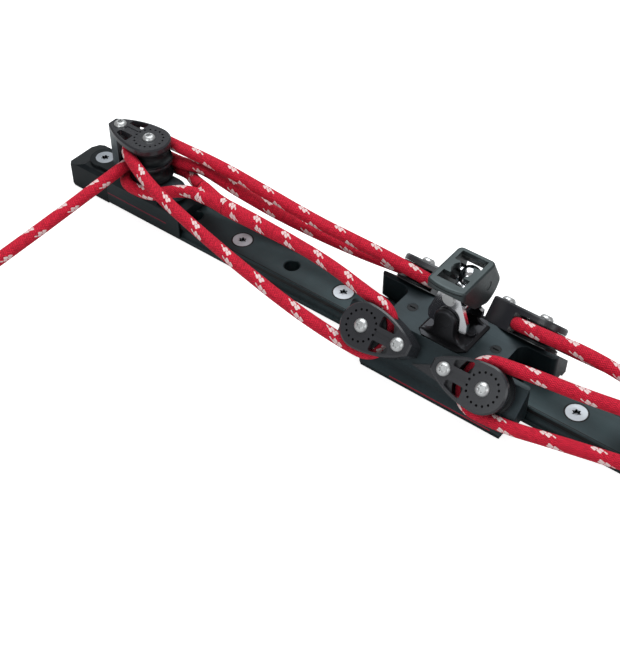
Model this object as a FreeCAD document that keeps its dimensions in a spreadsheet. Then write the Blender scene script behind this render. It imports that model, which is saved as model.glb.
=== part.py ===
import FreeCAD, Part
import math
import os
import re

import Sketcher
from FreeCAD import Placement, Rotation, Vector

# Frame: +X runs along the track away from the end control, +Y to the back, +Z up from the deck.
# The origin lies on the deck below the middle of the assembly. Sizes are millimetres and degrees.
SIZES = {
    # Whole assembly and track
    "assembly_length": 530,
    "track_setback": 10,
    "track_width": 32,
    "track_height": 18,
    "track_edge": 0.8,
    "race_radius": 4.5,
    "race_level": 9,
    "race_offset": 1,
    "screw_pitch": 100,
    "screw_count": 5,
    "first_screw": 80,
    "screw_head": 16.3,
    "screw_head_depth": 4.6,
    "screw_shank": 8,
    "screw_play": 0.1,
    "screw_lift": 0.5,
    "stop_hole": 12,
    "stop_hole_edge": 0.8,
    "stop_hole_count": 4,
    # End control housing
    "end_width": 34.8,
    "end_play": 0.1,
    "nose_length": 47,
    "nose_floor": 1.5,
    "nose_lip": 8,
    "nose_lip_run": 7,
    "nose_brow": 21,
    "nose_slope_run": 20,
    "nose_slope_level": 28,
    "nose_corner": 5,
    "boss_radius": 12.4,
    "boss_level": 31,
    "end_screw": 30,
    "end_screw_head": 16.6,
    "shoulder_level": 25,
    "shoulder_out": 12,
    "panel_length": 80,
    "panel_floor": 3,
    "shelf_level": 26,
    "shelf_length": 24,
    # Block parts shared by the end control and the car
    "cheek_radius": 17.5,
    "cheek_side_radius": 69.4,
    "cheek_thick": 4.8,
    "cheek_edge": 1.2,
    "bolt_spacing": 31.2,
    "tip_reach": 9.8,
    "ring_hole": 1.8,
    "ring_radius": 11.6,
    "ring_count": 17,
    "window_start": 12.4,
    "window_end": 26.3,
    "window_wall": 2.5,
    "window_corner": 1.4,
    "arm_half_width": 5.2,
    "arm_recess": 0.6,
    "arm_recess_width": 3.4,
    "sheave_radius": 17.2,
    "sheave_width": 13.6,
    "sheave_gap": 0.3,
    "rope_width": 10,
    "rope_play": 0.3,
    "rope_line": 17.5,
    "bolt_shank": 6,
    "bolt_play": 0.1,
    "bolt_head": 10.2,
    "bolt_head_height": 3,
    "bolt_socket": 2.8,
    "screw_socket": 3.4,
    "sleeve_radius": 6,
    "sleeve_play": 0.05,
    "column_play": 1,
    # End block
    "end_axis": 85.4,
    "hub_radius": 14,
    "hub_top": 40.2,
    "middle_plate": 1.4,
    "end_bolt_depth": 8,
    "foot_sink": 1.6,
    "foot_half_width": 9,
    "foot_play": 0.05,
    "tongue_reach": 33,
    "tongue_half_width": 9,
    "tongue_drop": 1.6,
    "tongue_brow": 19,
    "tongue_nose": 7.3,
    "end_column_play": 2.8,
    # Car
    "car_centre": 112.3,
    "car_length": 149,
    "car_height": 38,
    "car_floor": 1,
    "car_play": 0.5,
    "car_shoulder": 20.5,
    "block_tilt": 45,
    "face_width": 24,
    "skirt_width": 80,
    "skirt_lip": 4,
    "skirt_waist": 15,
    "skirt_scoop": 14,
    "left_heel": 23,
    "left_heel_rise": 17,
    "right_heel": 8,
    "right_heel_rise": 9,
    "notch_depth": 27.7,
    "notch_corner": 7,
    "notch_mouth": 4,
    "notch_floor": 18.8,
    "gusset_reach": 20,
    "gusset_drop": 9,
    "gusset_thick": 2,
    "car_screw_setback": 39.3,
    "car_screw_head": 8,
    "car_screw_shank": 5,
    "car_screw_depth": 10,
    "block_setback": 24,
    "block_out": 29,
    "block_seat": 0.7,
    "car_bolt_depth": 8,
    "ball_radius": 4,
    "ball_count": 6,
    "ball_pitch": 18,
    "return_offset": 27.5,
    "return_radius": 4.4,
    # Mainsheet toggle
    "toggle_offset": 0.8,
    "toggle_foot_length": 40,
    "toggle_foot_width": 40,
    "toggle_foot": 2.6,
    "toggle_flare": 9,
    "ear_out": 15.8,
    "ear_thick": 3.4,
    "ear_radius": 9,
    "ear_round": 2,
    "toggle_axis": 57,
    "toggle_pin": 7.8,
    "pin_play": 0.05,
    "pin_head": 11,
    "pin_head_height": 1.6,
    "pin_groove": 0.5,
    "clip_width": 2.6,
    "clip_thick": 1,
    "link_gap": 0.4,
    "link_plate": 3.2,
    "link_hub": 6.8,
    "link_neck": 8.4,
    "link_top": 80,
    "link_spread": 15.8,
    "link_base": 49.5,
    "link_brow": 8.2,
    "link_toe": 8.8,
    "link_toe_round": 3,
    "link_back_waist": 11.6,
    "link_ball": 8.6,
    "rivet_radius": 5,
    "rivet_drop": 4.9,
    "rivet_height": 1.2,
    "saddle_axis": 77,
    "saddle_axis_out": 14.5,
    "saddle_pin": 7,
    "saddle_boss": 6.4,
    "saddle_width": 30.4,
    "saddle_cheek": 3,
    "saddle_cheek_radius": 16.4,
    "saddle_front": 21.3,
    "saddle_back": 22.6,
    "saddle_top": 92.6,
    "saddle_plate": 3.4,
    "saddle_lip": 4.6,
    "saddle_wall": 3.2,
    "saddle_bow": 2.8,
    "saddle_groove": 0.7,
    "saddle_groove_drop": 1.8,
    "saddle_front_round": 3,
    "saddle_roll": 1.8,
    "saddle_back_round": 4,
    "window_half": 10.5,
    "window_front": 13.5,
    "window_front_slot": 8.5,
    "window_back": 19.5,
    "window_back_slot": 10.5,
    "window_waist": 5.3,
    "window_round": 7.6,
    "window_round_centre": 2,
    # Lines
    "knot_width": 30,
    "knot_length": 30,
    "splice_width": 21,
    "splice_depth": 11.4,
    "splice_end": 13.2,
}

DOC = FreeCAD.newDocument("TravellerEndControl")
SHEET = DOC.addObject("Spreadsheet::Sheet", "Sizes")
for row, (alias, number) in enumerate(SIZES.items(), start=1):
    SHEET.set(f"A{row}", alias)
    SHEET.set(f"B{row}", str(number))
    SHEET.setAlias(f"B{row}", alias)
DOC.recompute()

X_AXIS = Vector(1, 0, 0)
Y_AXIS = Vector(0, 1, 0)
Z_AXIS = Vector(0, 0, 1)
NODES = {}


def value(text):
    """The number that a formula of the sheet's sizes gives."""
    return float(SHEET.evalExpression(str(text)))


def bound(text):
    """The same formula, as an expression of an object outside the sheet."""
    return re.sub(r"[a-z_]+", lambda word: f"Sizes.{word[0]}" if word[0] in SIZES else word[0], str(text))


def bind(thing, prop, text):
    """Tie one property of an object to a formula."""
    thing.setExpression(prop, bound(text))


def keep(thing, node):
    """Name an object as a piece of the assembly."""
    thing.Label = node
    NODES[node] = thing
    return thing


def place(thing, seat, rotation=None):
    """Put an object at a seat, three formulas, turned by a rotation."""
    thing.Placement = Placement(Vector(0, 0, 0), rotation or Rotation())
    for axis, text in zip("xyz", seat):
        bind(thing, f".Placement.Base.{axis}", text)
    return thing


def new_body(name):
    """A body for features."""
    return DOC.addObject("PartDesign::Body", name)


def plane_of(body, role):
    """One of a body's own origin planes or axes."""
    return next(item for item in body.Origin.OriginFeatures if item.Role == role)


def arc_centre(start, end, radius, turn):
    """Centre of the lesser arc from start to end; turn is 1 for anticlockwise and -1 for clockwise."""
    chord = end - start
    rise = math.sqrt(max(radius * radius - chord.Length ** 2 / 4, 0))
    side = Vector(-chord.y, chord.x, 0).normalize() * turn
    return (start + end) * 0.5 + side * rise


def sketch_on(body, name, role, lift="0"):
    """An empty sketch on one of the body's origin planes, lifted along the plane's normal."""
    sketch = body.newObject("Sketcher::SketchObject", name)
    sketch.AttachmentSupport = [(plane_of(body, role), "")]
    sketch.MapMode = "FlatFace"
    bind(sketch, "AttachmentOffset.Base.z", lift)
    return sketch


def pin_point(sketch, index, end, across, up):
    """Hold one end or centre of a curve at two formulas from the sketch's origin."""
    for kind, text in (("DistanceX", across), ("DistanceY", up)):
        number = sketch.addConstraint(Sketcher.Constraint(kind, -1, 1, index, end, value(text)))
        bind(sketch, f"Constraints[{number}]", text)


def draw_loop(sketch, corners):
    """Draw a closed loop. A corner is (across, up), or (across, up, radius, turn) where an arc starts."""
    first = sketch.GeometryCount
    count = len(corners)
    points = [Vector(value(corner[0]), value(corner[1]), 0) for corner in corners]
    ends = []
    for step, corner in enumerate(corners):
        start, end = points[step], points[(step + 1) % count]
        if len(corner) == 2:
            sketch.addGeometry(Part.LineSegment(start, end))
            ends.append((1, 2))
            continue
        turn = corner[3]
        centre = arc_centre(start, end, value(corner[2]), turn)
        low, high = (start, end) if turn > 0 else (end, start)
        angles = [math.atan2(point.y - centre.y, point.x - centre.x) for point in (low, high)]
        circle = Part.Circle(centre, Z_AXIS, value(corner[2]))
        sketch.addGeometry(Part.ArcOfCircle(circle, angles[0], angles[1]))
        ends.append((1, 2) if turn > 0 else (2, 1))
    for step in range(count):
        following = (step + 1) % count
        sketch.addConstraint(
            Sketcher.Constraint("Coincident", first + step, ends[step][1], first + following, ends[following][0])
        )
    for step, corner in enumerate(corners):
        pin_point(sketch, first + step, ends[step][0], corner[0], corner[1])
        if len(corner) > 2:
            number = sketch.addConstraint(Sketcher.Constraint("Radius", first + step, value(corner[2])))
            bind(sketch, f"Constraints[{number}]", corner[2])


def draw_circle(sketch, across, up, radius):
    """Draw a circle whose centre and radius are formulas."""
    centre = Vector(value(across), value(up), 0)
    index = sketch.addGeometry(Part.Circle(centre, Z_AXIS, value(radius)))
    pin_point(sketch, index, 3, across, up)
    number = sketch.addConstraint(Sketcher.Constraint("Radius", index, value(radius)))
    bind(sketch, f"Constraints[{number}]", radius)


def loop_sketch(body, name, role, corners, lift="0"):
    """A sketch that holds one loop."""
    sketch = sketch_on(body, name, role, lift)
    draw_loop(sketch, corners)
    return sketch


def circle_sketch(body, name, role, circles, lift="0"):
    """A sketch that holds circles, each (across, up, radius)."""
    sketch = sketch_on(body, name, role, lift)
    for across, up, radius in circles:
        draw_circle(sketch, across, up, radius)
    return sketch


def pad(body, name, sketch, length, centred=False, back=False):
    """Extrude a sketch by a formula."""
    feature = body.newObject("PartDesign::Pad", name)
    feature.Profile = sketch
    if centred:
        feature.SideType = "Symmetric"
    feature.Reversed = back
    bind(feature, "Length", length)
    return feature


def pocket(body, name, sketch, depth=None, centred=False, forward=False):
    """Cut a sketch through the whole body, or to a depth against the sketch's normal."""
    feature = body.newObject("PartDesign::Pocket", name)
    feature.Profile = sketch
    if depth is None:
        feature.Type = "ThroughAll"
        feature.SideType = "Symmetric"
        return feature
    if centred:
        feature.SideType = "Symmetric"
    feature.Reversed = forward
    bind(feature, "Length", depth)
    return feature


def turned(body, name, sketch, axis_role, kind="Revolution"):
    """Turn a sketch a full circle about one of the body's own axes."""
    feature = body.newObject(f"PartDesign::{kind}", name)
    feature.Profile = sketch
    feature.ReferenceAxis = (plane_of(body, axis_role), [""])
    feature.Angle = 360
    return feature


def edges_where(feature, test):
    """Names of the edges whose middle point and edge pass a test."""
    DOC.recompute()
    names = []
    for number, edge in enumerate(feature.Shape.Edges, start=1):
        middle = edge.valueAt((edge.FirstParameter + edge.LastParameter) / 2)
        if test(edge, middle):
            names.append(f"Edge{number}")
    return names


def dress(body, name, kind, base, test, size):
    """Fillet or chamfer the edges of a feature that pass a test."""
    names = edges_where(base, test)
    feature = body.newObject(f"PartDesign::{kind}", name)
    feature.Base = (base, names)
    bind(feature, "Radius" if kind == "Fillet" else "Size", size)
    return feature


def upright(edge):
    """Whether an edge is a straight line along Z."""
    return isinstance(edge.Curve, Part.Line) and abs(edge.Curve.Direction.z) > 0.999


def circle_pattern(body, name, feature, axis_role, count):
    """Repeat a feature evenly round one of the body's axes."""
    pattern = body.newObject("PartDesign::PolarPattern", name)
    pattern.Originals = [feature]
    pattern.Axis = (plane_of(body, axis_role), [""])
    pattern.Angle = 360
    bind(pattern, "Occurrences", count)
    body.Tip = pattern
    return pattern


def row_pattern(body, name, feature, axis_role, length, count):
    """Repeat a feature along one of the body's axes over a length."""
    pattern = body.newObject("PartDesign::LinearPattern", name)
    pattern.Originals = [feature]
    pattern.Direction = (plane_of(body, axis_role), [""])
    bind(pattern, "Length", length)
    bind(pattern, "Occurrences", count)
    body.Tip = pattern
    return pattern


def gather(name, members):
    """Several separate solids as one piece."""
    group = DOC.addObject("Part::Compound", name)
    group.Links = members
    return group


# Places that several pieces share, as formulas of the sheet's sizes
NOSE_END = "(-assembly_length / 2)"
TRACK_START = "(track_setback - assembly_length / 2)"
TRACK_END = "(assembly_length / 2)"
FIRST_SCREW = "(first_screw - assembly_length / 2)"
END_SCREW = "(end_screw - assembly_length / 2)"
END_AXIS = "(end_axis - assembly_length / 2)"
NOSE_BACK = "(nose_length - assembly_length / 2)"
PANEL_END = "(nose_length + panel_length - assembly_length / 2)"
SHELF_START = "(nose_length + panel_length - shelf_length - assembly_length / 2)"
GROOVE_RADIUS = "(rope_width / 2 + rope_play)"
SINGLE_STACK = "(block_seat + 2 * sheave_gap + sheave_width)"
LOWER_SHEAVE = "sheave_gap"
MIDDLE_PLATE = "(2 * sheave_gap + sheave_width)"
UPPER_SHEAVE = "(3 * sheave_gap + sheave_width + middle_plate)"
DOUBLE_STACK = "(4 * sheave_gap + 2 * sheave_width + middle_plate)"
BLOCK_FACE_LEVEL = "(car_height - (block_out - car_shoulder) * tan(block_tilt))"
TOGGLE_X = "(car_centre + toggle_offset)"
BLOCK_SPREAD = "(car_length - 2 * block_setback)"
SCREW_SPREAD = "(car_length - 2 * car_screw_setback)"
COLUMN_HOLLOW = "(rope_line + rope_width / 2 + column_play)"
END_COLUMN_HOLLOW = "(hub_radius + rope_width + end_column_play)"
FOOT_END = "(bolt_spacing + tip_reach / 2)"

TIP_BACK = Rotation(Z_AXIS, 180)


def star_loop(reach):
    """Corners of a six-lobed driving recess, its lobes and hollows drawn as arcs."""
    corners = []
    for lobe in range(6):
        for side, bow, turn in ((-1, 0.2, 1), (1, 0.3, -1)):
            angle = math.radians(60 * lobe + 11 * side)
            across, up = 0.9 * math.cos(angle), 0.9 * math.sin(angle)
            corners.append((f"{reach} * {across:.6f}", f"{reach} * {up:.6f}", f"{reach} * {bow * 1.1:.3f}", turn))
    return corners


def countersunk_screw(name, head, head_depth, shank, length):
    """A flat-headed screw that points down from its head's top face at z = 0."""
    body = new_body(name)
    half = f"{head} / 2"
    stem = f"{shank} / 2"
    sketch = loop_sketch(body, f"{name}_section", "XZ_Plane", [
        ("0", f"-({length})"), (stem, f"-({length})"), (stem, f"-({head_depth})"),
        (half, "-0.8"), (half, "0"), ("0", "0"),
    ])
    base = turned(body, f"{name}_turned", sketch, "Z_Axis")
    recess = loop_sketch(body, f"{name}_socket", "XY_Plane", star_loop("screw_socket"))
    pocket(body, f"{name}_socket_cut", recess, f"{head_depth} * 0.55")
    return body


def countersink(body, name, head, head_depth, shank, play, x, floor, top):
    """Groove a countersunk hole about a vertical axis at x, from the floor up to the top face."""
    lip = f"{head} / 2 + {play}"
    stem = f"{shank} / 2 + {play}"
    sketch = sketch_on(body, f"{name}_section", "XZ_Plane")
    draw_loop(sketch, [
        (x, floor), (f"{x} + {stem}", floor), (f"{x} + {stem}", f"{top} - {head_depth} - {play}"),
        (f"{x} + {lip}", f"{top} - 0.8 - {play}"), (f"{x} + {lip}", f"{top} + 1"), (x, f"{top} + 1"),
    ])
    axis = sketch.addGeometry(Part.LineSegment(Vector(value(x), -1, 0), Vector(value(x), 1, 0)), True)
    pin_point(sketch, axis, 1, x, "-1")
    pin_point(sketch, axis, 2, x, "1")
    groove = body.newObject("PartDesign::Groove", name)
    groove.Profile = sketch
    groove.ReferenceAxis = (sketch, ["Axis0"])
    groove.Angle = 360
    return groove


def build_track():
    """The rolled track with a ball race down each side and its row of holes."""
    body = new_body("track")
    half = "track_width / 2"
    mouth = "sqrt(race_radius ^ 2 - race_offset ^ 2)"
    section = loop_sketch(body, "track_section", "YZ_Plane", [
        (f"-({half}) + track_edge", "0"), (f"{half} - track_edge", "0"), (half, "track_edge"),
        (half, f"race_level - {mouth}", "race_radius", -1), (half, f"race_level + {mouth}"),
        (half, "track_height - track_edge"), (f"{half} - track_edge", "track_height"),
        (f"-({half}) + track_edge", "track_height"), (f"-({half})", "track_height - track_edge"),
        (f"-({half})", f"race_level + {mouth}", "race_radius", -1), (f"-({half})", f"race_level - {mouth}"),
        (f"-({half})", "track_edge"),
    ], TRACK_START)
    pad(body, "track_bar", section, f"{TRACK_END} - {TRACK_START}")
    screw = countersink(body, "track_screw_hole", "screw_head", "screw_head_depth", "screw_shank", "screw_play",
                        FIRST_SCREW, "-1", "track_height")
    row_pattern(body, "track_screw_holes", screw, "X_Axis", "screw_pitch * (screw_count - 1)", "screw_count")
    stop = sketch_on(body, "stop_hole_section", "XZ_Plane")
    centre = f"{FIRST_SCREW} + screw_pitch / 2"
    edge = f"{centre} + stop_hole / 2"
    draw_loop(stop, [
        (centre, "-1"), (edge, "-1"), (edge, "track_height - stop_hole_edge"),
        (f"{edge} + stop_hole_edge + 0.5", "track_height + 0.5"), (centre, "track_height + 0.5"),
    ])
    axis = stop.addGeometry(Part.LineSegment(Vector(value(centre), -1, 0), Vector(value(centre), 1, 0)), True)
    pin_point(stop, axis, 1, centre, "-1")
    pin_point(stop, axis, 2, centre, "1")
    groove = body.newObject("PartDesign::Groove", "stop_hole_turned")
    groove.Profile = stop
    groove.ReferenceAxis = (stop, ["Axis0"])
    groove.Angle = 360
    row_pattern(body, "stop_holes", groove, "X_Axis", "screw_pitch * (stop_hole_count - 1)", "stop_hole_count")
    end_hole = circle_sketch(body, "end_screw_hole_section", "XY_Plane",
                             [(END_SCREW, "0", "screw_shank / 2 + screw_play")])
    pocket(body, "end_screw_hole", end_hole)
    keep(body, "track")


def build_track_screws():
    """The row of flat-headed screws that hold the track down."""
    screws = []
    for number in range(int(value("screw_count"))):
        screw = countersunk_screw(f"track_screw_{number + 1}", "screw_head", "screw_head_depth", "screw_shank",
                                  "track_height - screw_lift")
        place(screw, (f"{FIRST_SCREW} + screw_pitch * {number}", "0", "track_height"))
        screws.append(screw)
    keep(gather("track_screw_row", screws), "track_screws")


def housing_section(name, body, floor, start):
    """The hipped section of the end control's housing, without the slot that the track fills."""
    half = "end_width / 2"
    return loop_sketch(body, name, "YZ_Plane", [
        (f"-({half})", floor), (half, floor), (half, "shoulder_level"), ("shoulder_out", "boss_level"),
        ("-shoulder_out", "boss_level"), (f"-({half})", "shoulder_level"),
    ], start)


def track_slot(name, body, start, length, floor):
    """Cut the slot that the end control slides over the track with."""
    half = "(track_width / 2 + end_play)"
    sketch = loop_sketch(body, f"{name}_section", "YZ_Plane", [
        (f"-{half}", f"{floor} - 1"), (half, f"{floor} - 1"), (half, "track_height + end_play"),
        (f"-{half}", "track_height + end_play"),
    ], start)
    return pocket(body, name, sketch, length, forward=True)


def build_nose():
    """The moulded nose that closes the track's end and carries the end screw on a round boss."""
    body = new_body("end_control_nose")
    section = housing_section("nose_section", body, "nose_floor", NOSE_END)
    pad(body, "nose_block", section, "nose_length")
    side = loop_sketch(body, "nose_side", "XZ_Plane", [
        (f"{NOSE_END} - 1", "0"), (f"{NOSE_END} + nose_lip_run", "0"),
        (f"{NOSE_END} + nose_lip_run", "nose_floor"), (NOSE_END, "nose_lip"), (f"{NOSE_END} - 1", "nose_lip"),
    ])
    pocket(body, "nose_chin", side)
    brow = loop_sketch(body, "nose_brow_side", "XZ_Plane", [
        (f"{NOSE_END} - 1", "nose_brow"), (NOSE_END, "nose_brow"),
        (f"{NOSE_END} + nose_slope_run", "nose_slope_level"), (NOSE_BACK, "nose_slope_level"),
        (f"{NOSE_BACK} + 1", "nose_slope_level"), (f"{NOSE_BACK} + 1", "boss_level + 1"),
        (f"{NOSE_END} - 1", "boss_level + 1"),
    ])
    cut = pocket(body, "nose_brow_cut", brow)
    corners = dress(body, "nose_corners", "Chamfer", cut,
                    lambda edge, middle: upright(edge) and middle.x < value(NOSE_END) + 0.1, "nose_corner")
    boss = circle_sketch(body, "nose_boss_section", "XY_Plane", [(END_SCREW, "0", "boss_radius")],
                         "nose_slope_level - 4")
    pad(body, "nose_boss", boss, "boss_level - nose_slope_level + 4")
    bridge = loop_sketch(body, "nose_bridge_section", "XY_Plane", [
        (END_SCREW, "-boss_radius + 1"), (NOSE_BACK, "-boss_radius + 1"), (NOSE_BACK, "boss_radius - 1"),
        (END_SCREW, "boss_radius - 1"),
    ], "nose_slope_level - 4")
    pad(body, "nose_bridge", bridge, "boss_level - nose_slope_level + 4")
    track_slot("nose_slot", body, TRACK_START, f"{NOSE_BACK} - {TRACK_START} + 1", "nose_floor")
    countersink(body, "nose_screw_hole", "end_screw_head", "screw_head_depth", "screw_shank", "screw_play",
                END_SCREW, "0", "boss_level")
    keep(body, "end_control_nose")


def build_end_base():
    """The anodised base that straddles the track behind the nose, stepped down to a shelf."""
    body = new_body("end_control_base")
    section = housing_section("base_section", body, "panel_floor", NOSE_BACK)
    pad(body, "base_block", section, "panel_length")
    shelf = loop_sketch(body, "base_shelf_side", "XZ_Plane", [
        (SHELF_START, "shelf_level"), (f"{PANEL_END} + 1", "shelf_level"), (f"{PANEL_END} + 1", "boss_level + 1"),
        (SHELF_START, "boss_level + 1"),
    ])
    pocket(body, "base_shelf", shelf)
    track_slot("base_slot", body, NOSE_BACK, "panel_length + 1", "panel_floor")
    half = "(foot_half_width + foot_play)"
    start = f"({END_AXIS} - {FOOT_END} - foot_play)"
    seat = loop_sketch(body, "base_foot_seat_section", "XY_Plane", [
        (start, f"-{half}"), (f"{SHELF_START} + 1", f"-{half}"), (f"{SHELF_START} + 1", half), (start, half),
    ], "boss_level")
    pocket(body, "base_foot_seat", seat, "foot_sink")
    bolt = circle_sketch(body, "base_bolt_hole_section", "XY_Plane", [
        (END_AXIS, "0", "bolt_shank / 2 + bolt_play"),
    ], "boss_level + 1")
    pocket(body, "base_bolt_hole", bolt, "boss_level + 1 - track_height")
    keep(body, "end_control_base")


def cheek_loop(inset="0"):
    """Outline of a cheek: round about the sheave, with bowed sides that run to a blunt tip along +X."""
    edge = f"(cheek_radius - {inset})"
    tip = "(bolt_spacing + tip_reach)"
    bow = f"(cheek_side_radius - {inset})"
    # The bowed side is tangent to the round end, and is cut off square at the tip.
    drop = f"(cheek_side_radius - cheek_radius)"
    tip_half = f"(sqrt({bow} ^ 2 - {tip} ^ 2) - {drop})"
    return [
        ("0", edge, edge, 1), (f"-{edge}", "0", edge, 1), ("0", f"-{edge}", bow, 1),
        (tip, f"-{tip_half}"), (tip, tip_half, bow, 1),
    ]


def column_loop(hollow):
    """Outline of a block's tip column: the cheek's tip, with a hollow face round the line on the sheave."""
    tip = "(bolt_spacing + tip_reach)"
    drop = "(cheek_side_radius - cheek_radius)"
    tip_half = f"(sqrt(cheek_side_radius ^ 2 - {tip} ^ 2) - {drop})"
    half = f"((cheek_side_radius ^ 2 - {hollow} ^ 2 - {drop} ^ 2) / (2 * {drop}))"
    start = f"sqrt({hollow} ^ 2 - {half} ^ 2)"
    return [
        (start, f"-{half}", "cheek_side_radius", 1), (tip, f"-{tip_half}"),
        (tip, tip_half, "cheek_side_radius", 1), (start, half, hollow, -1),
    ]


def window_loop(side):
    """Outline of a window between the arm and the bowed rim, on the +Y side for 1 and the -Y side for -1."""
    bow = "(cheek_side_radius - window_wall)"
    drop = "(cheek_side_radius - cheek_radius)"
    inner = [f"(sqrt({bow} ^ 2 - {x} ^ 2) - {drop})" for x in ("window_start", "window_end")]
    sign = "" if side > 0 else "-"
    corners = [
        ("window_start", f"{sign}arm_half_width"), ("window_end", f"{sign}arm_half_width"),
        ("window_end", f"{sign}{inner[1]}", bow, side), ("window_start", f"{sign}{inner[0]}"),
    ]
    if side > 0:
        return corners
    return [corners[0], ("window_start", f"-{inner[0]}", bow, 1), ("window_end", f"-{inner[1]}"), corners[1]]


def build_cheek(node, seat, rotation, level):
    """A moulded cheek with its ring of holes, two windows and a recessed arm, its inner face at a level."""
    body = new_body(node)
    outline = loop_sketch(body, f"{node}_outline", "XY_Plane", cheek_loop(), level)
    plate = pad(body, f"{node}_plate", outline, "cheek_thick")
    top = value(f"{level} + cheek_thick")
    dress(body, f"{node}_edge", "Chamfer", plate, lambda edge, middle: abs(middle.z - top) < 0.01, "cheek_edge")
    bolts = circle_sketch(body, f"{node}_bolt_holes", "XY_Plane", [
        ("0", "0", "bolt_shank / 2 + bolt_play"), ("bolt_spacing", "0", "bolt_shank / 2 + bolt_play"),
    ])
    pocket(body, f"{node}_bolt_cut", bolts)
    for side, word in ((1, "left"), (-1, "right")):
        window = loop_sketch(body, f"{node}_{word}_window", "XY_Plane", window_loop(side))
        cut = pocket(body, f"{node}_{word}_window_cut", window)
        low, high = value("window_start") - 0.1, value("window_end") + 0.1
        dress(body, f"{node}_{word}_window_corners", "Fillet", cut,
              lambda edge, middle: upright(edge) and low < middle.x < high and middle.y * side > 0,
              "window_corner")
    arm = loop_sketch(body, f"{node}_arm", "XY_Plane", [
        ("window_start", "-arm_recess_width / 2"), ("bolt_spacing - bolt_head / 2 - 1", "-arm_recess_width / 2"),
        ("bolt_spacing - bolt_head / 2 - 1", "arm_recess_width / 2"), ("window_start", "arm_recess_width / 2"),
    ], f"{level} + cheek_thick")
    pocket(body, f"{node}_arm_recess", arm, "arm_recess")
    ring = circle_sketch(body, f"{node}_ring_hole_section", "XY_Plane", [("-ring_radius", "0", "ring_hole / 2")],
                         f"{level} + cheek_thick")
    hole = pocket(body, f"{node}_ring_hole", ring, "cheek_thick + 1")
    circle_pattern(body, f"{node}_ring_holes", hole, "Z_Axis", "ring_count")
    place(body, seat, rotation)
    return keep(body, node)


def build_sheave(node, seat, rotation, level):
    """A sheave turned to a round groove for the line, its lower face at a level."""
    body = new_body(node)
    middle = f"({level} + sheave_width / 2)"
    mouth = f"sqrt({GROOVE_RADIUS} ^ 2 - (rope_line - sheave_radius) ^ 2)"
    bore = "sleeve_radius + sleeve_play"
    section = loop_sketch(body, f"{node}_section", "XZ_Plane", [
        (bore, level), ("sheave_radius", level), ("sheave_radius", f"{middle} - {mouth}", GROOVE_RADIUS, -1),
        ("sheave_radius", f"{middle} + {mouth}"), ("sheave_radius", f"{level} + sheave_width"),
        (bore, f"{level} + sheave_width"),
    ])
    turned(body, f"{node}_turned", section, "Z_Axis")
    place(body, seat, rotation)
    return keep(body, node)


def button_bolt(name, reach):
    """A button-headed bolt that points down from the underside of its head at z = 0."""
    body = new_body(name)
    crown = "bolt_head * 0.28"
    sketch = loop_sketch(body, f"{name}_section", "XZ_Plane", [
        ("0", f"-({reach})"), ("bolt_shank / 2", f"-({reach})"), ("bolt_shank / 2", "0"), ("bolt_head / 2", "0"),
        ("bolt_head / 2", "bolt_head_height * 0.3", "bolt_head * 0.42", 1), (crown, "bolt_head_height"),
        ("0", "bolt_head_height"),
    ])
    turned(body, f"{name}_turned", sketch, "Z_Axis")
    recess = loop_sketch(body, f"{name}_socket", "XY_Plane", star_loop("bolt_socket"), "bolt_head_height")
    pocket(body, f"{name}_socket_cut", recess, "bolt_head_height * 0.6")
    return body


def block_point(seat, rotation, along, level):
    """The three formulas of a block's own point (along its length, level above its seat)."""
    turned_x = rotation.multVec(X_AXIS)
    turned_z = rotation.multVec(Z_AXIS)
    return tuple(
        f"{base} + {along} * ({turned_x[n]:.9f}) + {level} * ({turned_z[n]:.9f})" for n, base in enumerate(seat)
    )


def build_bolts(node, seat, rotation, level, reaches):
    """The axle bolt and the tip bolt of a block, their heads on the cheek."""
    bolts = []
    for word, along, reach in zip(("axle", "tip"), ("0", "bolt_spacing"), reaches):
        bolt = button_bolt(f"{node}_{word}", reach)
        place(bolt, block_point(seat, rotation, along, level), rotation)
        bolts.append(bolt)
    return keep(gather(f"{node}_pair", bolts), node)


def build_sleeve(node, seat, rotation, height):
    """The hard sleeve that a sheave runs on."""
    body = new_body(node)
    ring = circle_sketch(body, f"{node}_section", "XY_Plane",
                         [("0", "0", "sleeve_radius"), ("0", "0", "bolt_shank / 2 + bolt_play")])
    pad(body, f"{node}_tube", ring, height)
    place(body, seat, rotation)
    return keep(body, node)


def build_housing(node, seat, rotation, gusset=0):
    """The moulded housing under a car block: a thin floor, a column at the tip and, if any, a pointed gusset."""
    body = new_body(node)
    floor = loop_sketch(body, f"{node}_floor_outline", "XY_Plane", cheek_loop())
    pad(body, f"{node}_floor", floor, "block_seat")
    column = loop_sketch(body, f"{node}_column_outline", "XY_Plane", column_loop(COLUMN_HOLLOW))
    pad(body, f"{node}_column", column, SINGLE_STACK)
    if gusset:
        mark = "" if gusset > 0 else "-"
        tip = "(bolt_spacing + tip_reach)"
        web = loop_sketch(body, f"{node}_gusset_outline", "XY_Plane", [
            ("bolt_spacing", "0"), (tip, "0"), (f"{tip} + gusset_reach", f"{mark}gusset_drop"),
            ("bolt_spacing * 0.7", f"{mark}cheek_radius * 0.75"),
        ])
        pad(body, f"{node}_gusset", web, "gusset_thick")
    bores = circle_sketch(body, f"{node}_bores", "XY_Plane", [
        ("0", "0", "sleeve_radius + sleeve_play"), ("bolt_spacing", "0", "bolt_shank / 2 + bolt_play"),
    ])
    pocket(body, f"{node}_bore_cut", bores)
    place(body, seat, rotation)
    return keep(body, node)


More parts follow.
